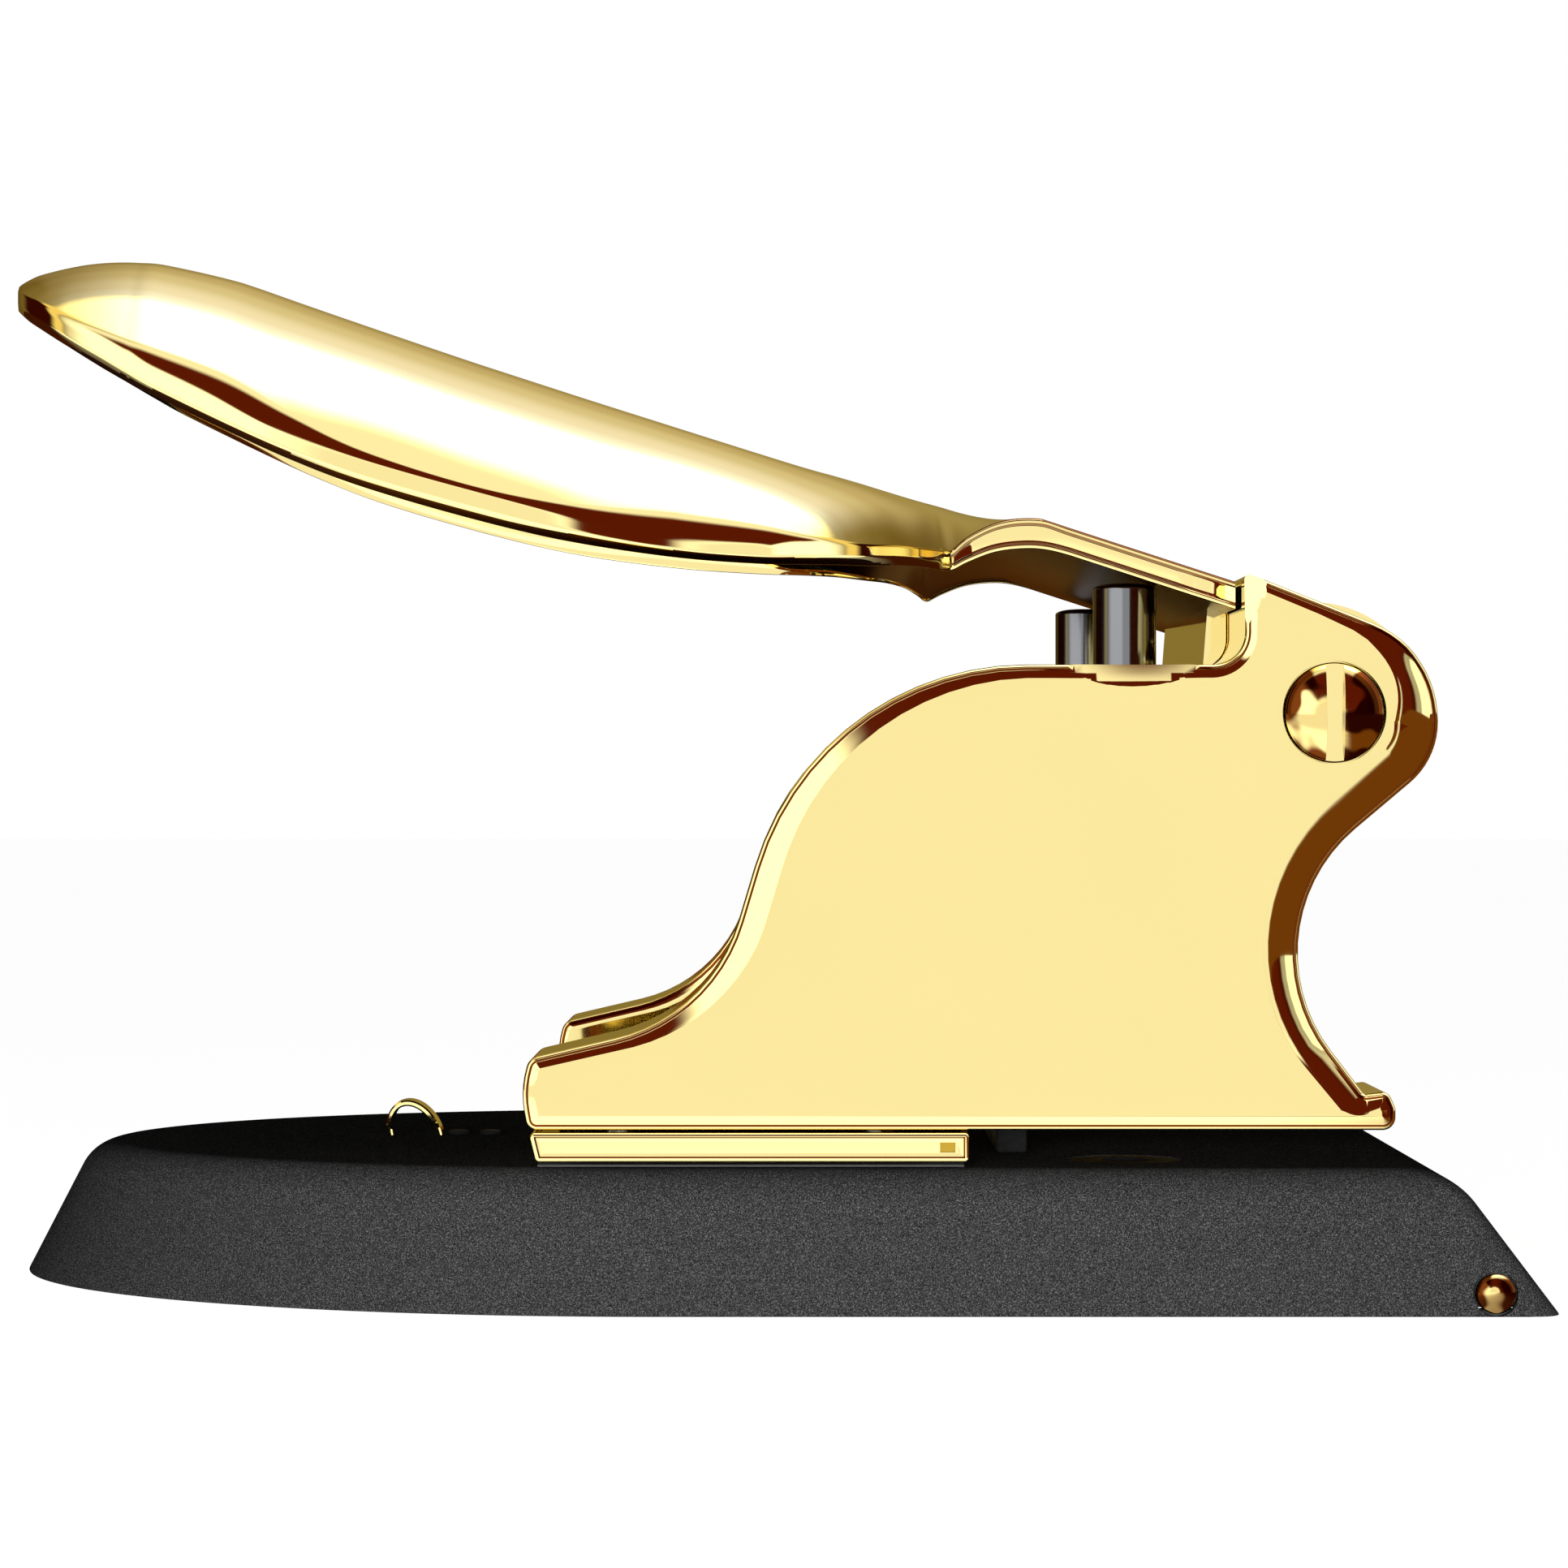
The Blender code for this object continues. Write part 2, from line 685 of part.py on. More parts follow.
def make_pivot():
    shaft_half = CHEEK_OUTER - PIVOT_HEAD_DEPTH - GAP
    bore = PIVOT_SHANK_RADIUS + GAP
    bore_floor = shaft_half - PIVOT_SHANK_LENGTH - 0.001
    turned(
        "pivot_shaft",
        [
            (0, bore_floor),
            (bore, bore_floor),
            (bore, shaft_half),
            (SHAFT_RADIUS, shaft_half),
            (SHAFT_RADIUS, -shaft_half),
            (bore, -shaft_half),
            (bore, -bore_floor),
            (0, -bore_floor),
        ],
        (PIVOT_X, 0, PIVOT_Z),
        (0, 1, 0),
        STEEL,
    )
    for name, side in SIDES.items():
        make_pivot_screw(name, side)
        turned(
            f"pivot_washer_{name}",
            ring_profile(WASHER_RADIUS, SHAFT_RADIUS + GAP, WASHER_THICKNESS),
            (PIVOT_X, side * (CHEEK_INNER - GAP - WASHER_THICKNESS), PIVOT_Z),
            (0, side, 0),
            BRONZE,
        )
        turned(
            f"hub_bush_{name}",
            ring_profile(SHAFT_RADIUS + RUN + HUB_BUSH_WALL, SHAFT_RADIUS + RUN, HUB_BUSH_LENGTH),
            (PIVOT_X, side * (hub_half() - HUB_BUSH_LENGTH), PIVOT_Z),
            (0, side, 0),
            BRONZE,
        )


def hub_half():
    """Half the length of the lever's hub, which fits between the two washers."""
    return CHEEK_INNER - 2 * GAP - WASHER_THICKNESS


def make_pivot_screw(name, side):
    """A domed, slotted screw, flush in the cheek, that holds one end of the shaft."""
    head = CHEEK_OUTER - PIVOT_HEAD_DEPTH + GAP
    depth = PIVOT_HEAD_DEPTH - GAP - PIVOT_DOME / 2
    dome = dome_profile(PIVOT_HEAD_RADIUS, -depth, PIVOT_DOME)[:-1]
    tip = -depth - PIVOT_SHANK_LENGTH
    shank = [(PIVOT_SHANK_RADIUS, -depth), (PIVOT_SHANK_RADIUS, tip), (0, tip)]
    screw = turned(
        f"pivot_screw_{name}",
        dome + shank,
        (PIVOT_X, side * (head + depth), PIVOT_Z),
        (0, side, 0),
        GOLD,
    )
    slot_floor = CHEEK_OUTER - 0.0012
    ends = sorted((side * slot_floor, side * (CHEEK_OUTER + 0.002)))
    reach = PIVOT_HEAD_RADIUS + 0.001
    half = PIVOT_SLOT / 2
    slot = box(
        f"slot_cutter_{name}",
        (PIVOT_X - half, ends[0], PIVOT_Z - reach),
        (PIVOT_X + half, ends[1], PIVOT_Z + reach),
        None,
    )
    combine(screw, slot)


# ---------------------------------------------------------------- lever


def plate_z(x):
    """Height of the lever plate's top face, which the handle's ridge carries on."""
    at_pivot = PIVOT_Z + LEVER_ABOVE_PIVOT / math.cos(LEVER_SLOPE)
    return at_pivot + (PIVOT_X - x) * math.tan(LEVER_SLOPE)


def lever_stations():
    """Sections of the lever, as (x, half width, how far its bottom edge and its ridge are below
    the plate's straight top line, height of its upright edge): the spoon, its neck, the flare
    to the wide plate and the plate."""
    tip = LEVER_TIP_X
    spoon, neck, wide = SPOON_HALF_WIDTH, SPOON_NECK_HALF_WIDTH, LEVER_HALF_WIDTH
    plate = LEVER_THICKNESS / math.cos(LEVER_SLOPE)
    return [
        (tip, 0.0030, 0.0132, 0.0099, 0.0026),
        (tip + 0.0012, 0.0068, 0.0139, 0.0089, 0.0028),
        (tip + 0.0045, 0.0107, 0.0152, 0.0066, 0.0030),
        (tip + 0.0093, 0.0138, 0.0167, 0.0040, 0.0031),
        (tip + 0.0150, 0.0163, 0.0181, 0.0019, 0.0032),
        (tip + 0.0205, 0.0179, 0.0194, 0.0005, 0.0033),
        (tip + 0.0304, spoon - 0.0008, 0.0210, 0.0, 0.0034),
        (tip + 0.0485, spoon, 0.0226, 0.0, 0.0034),
        (tip + 0.0626, spoon - 0.0002, 0.0221, 0.0, 0.0033),
        (tip + 0.0753, neck + 0.0032, 0.0209, 0.0, 0.0032),
        (tip + 0.0890, neck + 0.0008, 0.0184, 0.0, 0.0030),
        (tip + 0.0998, neck, 0.0157, 0.0, 0.0027),
        (tip + 0.1090, neck + 0.0023, 0.0130, 0.0, 0.0024),
        (tip + 0.1160, neck + 0.0079, 0.0109, 0.0, 0.0022),
        (tip + 0.1210, neck + 0.0168, 0.0100, 0.0, 0.0022),
        (tip + 0.1243, wide, 0.0103, 0.0, 0.0022),
        (tip + 0.1266, wide, 0.0085, 0.0, 0.0029),
        (tip + 0.1297, wide, 0.0063, 0.0, 0.0032),
        (tip + 0.1328, wide, 0.0048, 0.0, 0.0034),
        (tip + 0.1365, wide, plate + 0.0002, 0.0, plate - 0.0001),
        (tip + 0.1395, wide, plate, 0.0, plate),
        (SHOULDER_X - LEVER_END_GAP, wide, plate, 0.0, plate),
    ]


def crown(half_width, bottom, height, steps, start=0.0):
    """Points (y, z) of a parabola over the middle, from -Y to +Y."""
    points = []
    for step in range(steps + 1):
        across = 2 * step / steps - 1
        points.append((half_width * across, bottom + start + height * (1 - across**2)))
    return points


def lever_section(x, half_width, edge_drop, ridge_drop, edge, steps=12):
    """A closed section: over the top from the near to the far edge, and back underneath."""
    bottom = plate_z(x) - edge_drop
    height = edge_drop - ridge_drop
    wall = LEVER_THICKNESS * 0.8
    hollow = max(height - LEVER_THICKNESS / math.cos(LEVER_SLOPE), 0)
    inner_width = half_width - min(wall, half_width / 2)
    outside = crown(half_width, bottom, height - edge, steps, start=edge)
    inside = crown(inner_width, bottom, hollow, steps - 2)
    loop = [(-half_width, bottom), *outside, (half_width, bottom), *reversed(inside)]
    return [(x, y, z) for y, z in loop]


def make_lever():
    origin = (PIVOT_X, 0, PIVOT_Z)
    sections = [lever_section(*station) for station in lever_stations()]
    lever = loft("lever", sections, GOLD, origin)
    combine(lever, hub_body(), "UNION")
    ends = [(PIVOT_X, side * (LEVER_HALF_WIDTH + 0.01), PIVOT_Z) for side in (-1, 1)]
    hub_bore = SHAFT_RADIUS + RUN + HUB_BUSH_WALL + GAP
    combine(lever, cylinder_cutter("hub_bore_cutter", hub_bore, *ends))


def hub_body():
    """The barrel round the shaft and the root that carries the plate, between the cheeks."""
    along = Vector((math.cos(LEVER_SLOPE), -math.sin(LEVER_SLOPE)))
    up = left_normal(along)
    pivot = Vector((PIVOT_X, PIVOT_Z))
    root = LEVER_ABOVE_PIVOT
    outline = [(-HUB_ROOT, root), (-HUB_ROOT, root - LEVER_THICKNESS / 2)]
    for degrees in range(200, 471, 15):
        angle = math.radians(degrees)
        outline.append((HUB_RADIUS * math.cos(angle), HUB_RADIUS * math.sin(angle)))
    points = [pivot + along * u + up * v for u, v in outline]
    half = hub_half()
    return loft("hub_body", [[(p.x, y, p.y) for p in points] for y in (-half, half)], None)


# ---------------------------------------------------------------- punching


def make_punch_set(name, side):
    """A die in the base and, in the cheek, a guide bush, a pin with its spring and a top sleeve."""
    y = side * PIN_Y
    up = (0, 0, 1)
    die_bottom = CAVITY_TOP
    turned(
        f"die_{name}",
        [
            (DIE_FLANGE_RADIUS, BASE_TOP),
            (DIE_FLANGE_RADIUS, BASE_TOP - DIE_FLANGE),
            (DIE_NECK_RADIUS, BASE_TOP - DIE_FLANGE),
            (DIE_NECK_RADIUS, die_bottom),
            (HOLE_RADIUS + RUN, die_bottom),
            (HOLE_RADIUS + RUN, BASE_TOP),
        ],
        (PIN_X, y, 0),
        up,
        STEEL,
    )
    turned(
        f"guide_bush_{name}",
        ring_profile(PIN_BORE_RADIUS - GAP, HOLE_RADIUS + RUN, GUIDE_HEIGHT),
        (PIN_X, y, CHEEK_BOTTOM),
        up,
        BRONZE,
    )
    turned(
        f"bore_sleeve_{name}",
        ring_profile(PIN_BORE_RADIUS - GAP, PIN_HEAD_RADIUS + RUN, SLEEVE_HEIGHT),
        (PIN_X, y, CROWN_TOP - SLEEVE_HEIGHT),
        up,
        GOLD,
    )
    tip = CHEEK_BOTTOM + PIN_TIP_ABOVE_CHEEK_BOTTOM
    dome = dome_profile(PIN_HEAD_RADIUS, 0, PIN_DOME)[:-2]
    profile = [(radius, PIN_TOP - PIN_DOME + height) for radius, height in dome]
    profile += [
        (PIN_HEAD_RADIUS, COLLAR_TOP),
        (COLLAR_RADIUS, COLLAR_TOP),
        (COLLAR_RADIUS, COLLAR_BOTTOM),
        (HOLE_RADIUS, COLLAR_BOTTOM),
        (HOLE_RADIUS, tip),
        (0, tip + 0.0008),
    ]
    turned(
        f"punch_pin_{name}",
        [(radius, height - tip) for radius, height in profile],
        (PIN_X, y, tip),
        up,
        STEEL,
    )
    make_spring(name, y)


def make_spring(name, y):
    """An open coil between the guide bush and the pin's collar."""
    clear = SPRING_WIRE / 2 + GAP
    low = CHEEK_BOTTOM + GUIDE_HEIGHT + clear
    high = COLLAR_BOTTOM - clear
    per_turn = 9
    count = SPRING_TURNS * per_turn + 1
    curve = bpy.data.curves.new(f"return_spring_{name}", "CURVE")
    curve.dimensions = "3D"
    curve.bevel_depth = SPRING_WIRE / 2
    curve.bevel_resolution = 1
    curve.use_fill_caps = True
    spline = curve.splines.new("POLY")
    spline.points.add(count - 1)
    for i, point in enumerate(spline.points):
        angle = 2 * math.pi * i / per_turn
        height = low + (high - low) * i / (count - 1)
        point.co = (SPRING_RADIUS * math.cos(angle), SPRING_RADIUS * math.sin(angle), height, 1)
    curve.materials.append(STEEL)
    spring = bpy.data.objects.new(f"return_spring_{name}", curve)
    spring.location = (PIN_X, y, 0)
    PARTS.objects.link(spring)


def stop_x():
    """Middle of the paper stop, whose rear face holds the paper's edge."""
    return PIN_X - STOP_TO_HOLE - STOP_WIDTH / 2


def make_paper_stop():
    half = CHEEK_INNER - 0.0010
    low = BASE_TOP + GAP
    stop = box(
        "paper_stop",
        (stop_x() - STOP_WIDTH / 2, -half, low),
        (stop_x() + STOP_WIDTH / 2, half, low + STOP_HEIGHT),
        PLASTIC,
        bevel=0.0004,
    )
    seat = CAVITY_TOP - GAP
    tip = low + STOP_HEIGHT * 0.6
    for name, side in SIDES.items():
        y = side * CHEEK_INNER / 2
        thread = cylinder_cutter(
            f"stop_thread_{name}",
            STOP_SCREW_RADIUS + GAP,
            (stop_x(), y, low - 0.002),
            (stop_x(), y, tip + GAP),
        )
        combine(stop, thread)
        turned(
            f"stop_screw_{name}",
            screw_profile(STOP_SCREW_RADIUS, STOP_SCREW_HEAD_RADIUS, 0.0016, tip - seat),
            (stop_x(), y, seat),
            (0, 0, 1),
            STEEL,
        )


# ---------------------------------------------------------------- finger loop


def make_finger_loop():
    """A small arched ribbon on the base, in front of the cheeks, with two flat rivets behind."""
    foot = BASE_TOP + GAP
    steps = 14

    def arch(grow, angle):
        height = (LOOP_HEIGHT + grow) * math.sin(angle)
        lean_x = LOOP_LEAN * math.sin(angle)
        return LOOP_X - lean_x + (LOOP_HALF_LENGTH + grow) * math.cos(angle), foot + height

    angles = [math.pi * step / steps for step in range(steps + 1)]
    outer = [arch(LOOP_THICKNESS / 2, angle) for angle in angles]
    inner = [arch(-LOOP_THICKNESS / 2, angle) for angle in reversed(angles)]
    rings = [[(x, y, z) for x, z in outer + inner] for y in (-LOOP_WIDTH / 2, LOOP_WIDTH / 2)]
    loft("finger_loop", rings, GOLD)
    for name, offset in (("front", 0), ("rear", RIVET_SPACING)):
        turned(
            f"loop_rivet_{name}",
            dome_profile(RIVET_RADIUS, -RIVET_HEIGHT, 0.0002),
            (LOOP_X + LOOP_HALF_LENGTH + 0.0025 + offset, 0, foot + RIVET_HEIGHT),
            (0, 0, 1),
            STEEL,
        )


def main():
    make_base()
    make_gasket()
    make_lid()
    make_lid_hinge()
    for name, side in SIDES.items():
        make_cheek(name, side)
        make_sole_bar(name, side)
        make_punch_set(name, side)
    make_cheek_screws()
    make_pivot()
    make_lever()
    make_paper_stop()
    make_finger_loop()


main()
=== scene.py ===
"""Looks of the two-hole desk punch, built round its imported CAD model. Metres, +Z up, +X rear."""

import json
import math

import bmesh
import bpy
from mathutils import Matrix, Vector


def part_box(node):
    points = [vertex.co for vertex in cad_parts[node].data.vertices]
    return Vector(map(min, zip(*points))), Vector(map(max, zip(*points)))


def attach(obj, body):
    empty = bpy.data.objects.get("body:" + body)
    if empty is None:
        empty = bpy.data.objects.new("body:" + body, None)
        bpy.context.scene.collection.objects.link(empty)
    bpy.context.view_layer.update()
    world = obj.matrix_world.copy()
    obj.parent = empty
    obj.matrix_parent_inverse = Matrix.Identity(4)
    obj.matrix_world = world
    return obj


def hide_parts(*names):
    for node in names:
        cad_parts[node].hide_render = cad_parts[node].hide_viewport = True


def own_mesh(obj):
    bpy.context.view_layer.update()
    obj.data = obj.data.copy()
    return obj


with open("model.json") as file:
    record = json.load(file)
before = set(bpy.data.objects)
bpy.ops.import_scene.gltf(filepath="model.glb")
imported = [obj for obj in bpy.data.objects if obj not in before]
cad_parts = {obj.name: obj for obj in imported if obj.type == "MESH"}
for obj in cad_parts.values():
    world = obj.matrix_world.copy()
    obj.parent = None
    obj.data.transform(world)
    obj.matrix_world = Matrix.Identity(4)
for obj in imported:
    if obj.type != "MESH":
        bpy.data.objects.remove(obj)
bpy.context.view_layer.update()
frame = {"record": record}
BODIES = frame["record"]["behaviour"]["bodies"]
BODY_OF = {node: body for body, nodes in BODIES.items() for node in nodes}
SIDES = {"near": -1, "far": 1}
ROUND = 72


# ---- node helpers


class Nodes:
    """A short way to write a node tree."""

    def __init__(self, tree):
        self.tree = tree

    def feed(self, socket, value):
        """Links the socket to another, or sets its number or its colour."""
        if isinstance(value, bpy.types.NodeSocket):
            self.tree.links.new(value, socket)
        else:
            socket.default_value = (*value, 1) if isinstance(value, tuple) else value

    def add(self, kind, inputs=None, **settings):
        node = self.tree.nodes.new(kind)
        for name, value in settings.items():
            setattr(node, name, value)
        for name, value in (inputs or {}).items():
            self.feed(node.inputs[name], value)
        return node

    def math(self, operation, *values):
        node = self.tree.nodes.new("ShaderNodeMath")
        node.operation = operation
        for socket, value in zip(node.inputs, values):
            self.feed(socket, value)
        return node.outputs[0]

    def ramp(self, factor, stops):
        node = self.add("ShaderNodeValToRGB", {"Fac": factor})
        node.color_ramp.interpolation = "EASE"
        elements = node.color_ramp.elements
        while len(elements) < len(stops):
            elements.new(0.5)
        for element, (place, color) in zip(elements, stops):
            element.position = place
            element.color = (*color, 1) if isinstance(color, tuple) else (color,) * 3 + (1,)
        return node.outputs["Color"]

    def mix(self, factor, a, b, blend="MIX"):
        node = self.add("ShaderNodeMix", data_type="RGBA", blend_type=blend)
        for index, value in ((0, factor), (6, a), (7, b)):
            self.feed(node.inputs[index], value)
        return node.outputs[2]

    def noise(self, scale, detail=3.0, roughness=0.5):
        place = self.add("ShaderNodeTexCoord").outputs["Object"]
        node = self.add(
            "ShaderNodeTexNoise",
            {"Vector": place, "Scale": scale, "Detail": detail, "Roughness": roughness},
        )
        return node.outputs["Fac"]


def new_material(name, color, metallic, roughness, **sockets):
    """A material, its node helper and its shader. A socket's name has _ for a space."""
    material = bpy.data.materials.new(name)
    material.use_nodes = True
    nodes = Nodes(material.node_tree)
    shader = material.node_tree.nodes["Principled BSDF"]
    shader.inputs["Base Color"].default_value = (*color, 1)
    shader.inputs["Metallic"].default_value = metallic
    shader.inputs["Roughness"].default_value = roughness
    for socket, value in sockets.items():
        shader.inputs[socket.replace("_", " ")].default_value = value
    return material, nodes, shader


def bump(nodes, shader, height, distance):
    node = nodes.add("ShaderNodeBump", {"Height": height, "Distance": distance, "Strength": 1.0})
    nodes.feed(shader.inputs["Normal"], node.outputs["Normal"])


def polished(name, color, roughness, haze=0.03, grain=0.0):
    """A polished metal, whose gloss varies a little from place to place."""
    material, nodes, shader = new_material(name, color, 1.0, roughness)
    cloud = nodes.noise(90.0, 4.0)
    level = nodes.math("MULTIPLY_ADD", cloud, haze, roughness - haze / 2)
    nodes.feed(shader.inputs["Roughness"], level)
    tint = tuple(c * 0.97 for c in color)
    shade = nodes.mix(nodes.noise(35.0, 2.0), color, tint)
    nodes.feed(shader.inputs["Base Color"], shade)
    if grain:
        bump(nodes, shader, nodes.noise(2600.0, 2.0), grain)
    return material


def metal_with_painted_reflections(name, color, dark, roughness):
    """A polished metal with painted reflections: dark clouds of noise in its colour stand in for the
    dark surroundings it would mirror.
    """
    material, nodes, shader = new_material(name, color, 1.0, roughness)
    # dark clouds of noise: painted dark reflections, fixed on the metal
    shade = nodes.ramp(nodes.noise(230.0, 1.0, 0.4), [(0.46, dark), (0.53, color)])
    nodes.feed(shader.inputs["Base Color"], shade)
    level = nodes.math("MULTIPLY_ADD", nodes.noise(90.0, 4.0), 0.03, roughness)
    nodes.feed(shader.inputs["Roughness"], level)
    return material


def powder_coat(name):
    """Black paint with a fine grain and pale specks."""
    material, nodes, shader = new_material(
        name, (0.012, 0.012, 0.012), 0.0, 0.55, Specular_IOR_Level=0.0
    )
    speck = nodes.ramp(nodes.noise(6500.0, 2.0, 0.7), [(0.36, 0.004), (0.52, 0.014), (0.68, 0.055)])
    nodes.feed(shader.inputs["Base Color"], speck)
    rough = nodes.ramp(nodes.noise(800.0, 3.0), [(0.3, 0.50), (0.7, 0.66)])
    nodes.feed(shader.inputs["Roughness"], rough)
    bump(nodes, shader, nodes.noise(5200.0, 3.0, 0.6), 0.00006)
    return material


def moulded(name, color, roughness, scale=1200.0):
    """Plastic or rubber with a fine texture."""
    material, nodes, shader = new_material(name, color, 0.0, roughness, Specular_IOR_Level=0.05)
    rough = nodes.ramp(nodes.noise(140.0, 4.0), [(0.3, roughness - 0.07), (0.7, roughness + 0.07)])
    nodes.feed(shader.inputs["Roughness"], rough)
    pale = tuple(c * 1.7 for c in color)
    shade = nodes.mix(nodes.noise(scale, 2.0), color, pale)
    nodes.feed(shader.inputs["Base Color"], shade)
    bump(nodes, shader, nodes.noise(scale, 3.0), 0.00006)
    return material


GOLD = polished("gold_plate", (0.99, 0.83, 0.356), 0.045, haze=0.02)
COAT = powder_coat("powder_coat")
# Gold with painted dark reflections, for the pivot screws and the lid's pin caps.
REFLECTION_PAINTED_GOLD = metal_with_painted_reflections("gold_painted_reflections", (0.95, 0.74, 0.28), (0.13, 0.030, 0.004), 0.06)
# Dark gold that paints shade into creases, grooves and the walls of sunk panels.
CREASE_SHADE_GOLD = polished("gold_painted_crease_shade", (0.16, 0.035, 0.004), 0.12)
# Dark gold that paints shade and dark reflections on the lever's downward faces.
UNDERSIDE_SHADE_GOLD = polished("gold_painted_underside_shade", (0.085, 0.022, 0.002), 0.32)
# Darker satin gold, which paints shade on the floor of the sole bar's cell.
CELL_SHADE_GOLD = polished("satin_gold_painted_shade", (0.52, 0.33, 0.04), 0.25)
CHROME = polished("chromed_steel", (0.21, 0.215, 0.225), 0.13)
DIE_STEEL = moulded("blackened_steel", (0.002, 0.002, 0.002), 0.6)
BRONZE = polished("turned_bronze", (0.62, 0.38, 0.17), 0.30, haze=0.1, grain=0.00003)
PLASTIC = moulded("moulded_plastic", (0.003, 0.003, 0.003), 0.48)
RUBBER = moulded("moulded_rubber", (0.016, 0.016, 0.016), 0.82, 900.0)


# ---- shape helpers


def make_object(name, bm, angle=30):
    bmesh.ops.recalc_face_normals(bm, faces=bm.faces)
    mesh = bpy.data.meshes.new(name)
    bm.to_mesh(mesh)
    bm.free()
    mesh.shade_smooth()
    mesh.set_sharp_from_angle(angle=math.radians(angle))
    obj = bpy.data.objects.new(name, mesh)
    bpy.context.scene.collection.objects.link(obj)
    return obj


def loft(name, rings, angle=30, creases=()):
    """Joins rings of points, with the same count in each, and closes the first and the last.
    The bands that start at the rings in creases get the second material, the painted crease shade."""
    bm = bmesh.new()
    loops = [[bm.verts.new(point) for point in ring] for ring in rings]
    for k, (lower, upper) in enumerate(zip(loops, loops[1:])):
        for i in range(len(lower)):
            j = (i + 1) % len(lower)
            face = bm.faces.new((lower[i], lower[j], upper[j], upper[i]))
            face.material_index = int(k in creases)
    bm.faces.new(loops[0])
    bm.faces.new(loops[-1])
    return make_object(name, bm, angle)


def left_normal(direction):
    return Vector((-direction.y, direction.x))


def rounded(corners, inset=0.0, step=math.radians(6)):
    """Points of an anticlockwise polygon of (x, z, radius) corners, drawn in by inset."""
    points = []
    for i, (x, z, radius) in enumerate(corners):
        corner = Vector((x, z))
        before = (corner - Vector(corners[i - 1][:2])).normalized()
        after = (Vector(corners[(i + 1) % len(corners)][:2]) - corner).normalized()
        turn = math.atan2(before.cross(after), before.dot(after))
        count = max(1, math.ceil(abs(turn) / step)) if radius > 0 else 0
        normals = left_normal(before) + left_normal(after)
        corner += normals * inset / (1 + before.dot(after))
        radius = max(radius - math.copysign(inset, turn), 0.00002)
        if not count:
            points.append(corner)
            continue
        start = corner - before * radius * math.tan(abs(turn) / 2)
        centre = start + left_normal(before) * math.copysign(radius, turn)
        spoke = start - centre
        points += [centre + Matrix.Rotation(turn * k / count, 2) @ spoke for k in range(count + 1)]
    return points


def turned(name, corners, origin, axis=(0, 0, 1), steps=ROUND):
    """An anticlockwise outline of (radius, height, fillet) corners, turned round the axis."""
    outline = rounded(corners, step=math.radians(18))
    turn = Vector((0, 0, 1)).rotation_difference(Vector(axis)).to_matrix()
    origin = Vector(origin)
    bm = bmesh.new()
    loops = []
    for p in outline:
        ring = []
        for k in range(steps):
            angle = 2 * math.pi * k / steps
            local = Vector((p.x * math.cos(angle), p.x * math.sin(angle), p.y))
            ring.append(bm.verts.new(origin + turn @ local))
        loops.append(ring)
    for i, lower in enumerate(loops):
        upper = loops[(i + 1) % len(loops)]
        if outline[i].x < 1e-6 and outline[(i + 1) % len(loops)].x < 1e-6:
            continue
        for k in range(steps):
            j = (k + 1) % steps
            bm.faces.new((lower[k], lower[j], upper[j], upper[k]))
    bmesh.ops.remove_doubles(bm, verts=bm.verts, dist=1e-6)
    bmesh.ops.dissolve_degenerate(bm, edges=bm.edges, dist=1e-7)
    return make_object(name, bm)


def box(name, low, high, bevel=0.0, segments=3):
    bm = bmesh.new()
    bmesh.ops.create_cube(bm, size=1)
    low, high = Vector(low), Vector(high)
    bmesh.ops.scale(bm, vec=high - low, verts=bm.verts)
    bmesh.ops.translate(bm, vec=(low + high) / 2, verts=bm.verts)
    if bevel:
        bmesh.ops.bevel(
            bm, geom=bm.edges, offset=bevel, segments=segments, profile=0.5, affect="EDGES"
        )
    return make_object(name, bm)


def cylinder(name, radius, start, end, steps=ROUND):
    start, end = Vector(start), Vector(end)
    length = (end - start).length
    corners = [(0, 0, 0), (radius, 0, 0), (radius, length, 0), (0, length, 0)]
    return turned(name, corners, start, end - start, steps)


def upright(name, radius, c, low, high):
    return cylinder(name, radius, (c.x, c.y, low), (c.x, c.y, high))


def across(name, radius, c, start, end):
    return cylinder(name, radius, (c.x, start, c.z), (c.x, end, c.z))


def sphere(name, centre, radius):
    bm = bmesh.new()
    bmesh.ops.create_uvsphere(bm, u_segments=128, v_segments=96, radius=radius)
    bmesh.ops.translate(bm, vec=centre, verts=bm.verts)
    return make_object(name, bm)


def evaluated_mesh(obj):
    graph = bpy.context.evaluated_depsgraph_get()
    return bpy.data.meshes.new_from_object(obj.evaluated_get(graph))


def apply_modifiers(obj):
    mesh = evaluated_mesh(obj)
    obj.modifiers.clear()
    obj.data = mesh


def combine(obj, others, operation="DIFFERENCE", angle=30):
    """Cuts these shapes from the object, or joins them to it, and removes them."""
    for other in others:
        modifier = obj.modifiers.new(other.name, "BOOLEAN")
        modifier.operation = operation
        modifier.object = other
        apply_modifiers(obj)
        bpy.data.objects.remove(other)
    obj.data.set_sharp_from_angle(angle=math.radians(angle))
    return obj


def soften(obj, width, angle=35):
    """Breaks the sharp edges, and evens the shading of what is flat."""
    modifier = obj.modifiers.new("edges", "BEVEL")
    modifier.width = width
    modifier.segments = 2
    modifier.limit_method = "ANGLE"
    modifier.angle_limit = math.radians(angle)
    even_shading(obj)


def even_shading(obj):
    modifier = obj.modifiers.new("shading", "WEIGHTED_NORMAL")
    modifier.mode = "FACE_AREA"
    modifier.keep_sharp = True
    modifier.weight = 80


def show(obj, node, material):
    """The piece stands for this CAD node, and moves with its body."""
    if material:
        obj.data.materials.clear()
        obj.data.materials.append(material)
    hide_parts(node)
    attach(obj, BODY_OF[node])


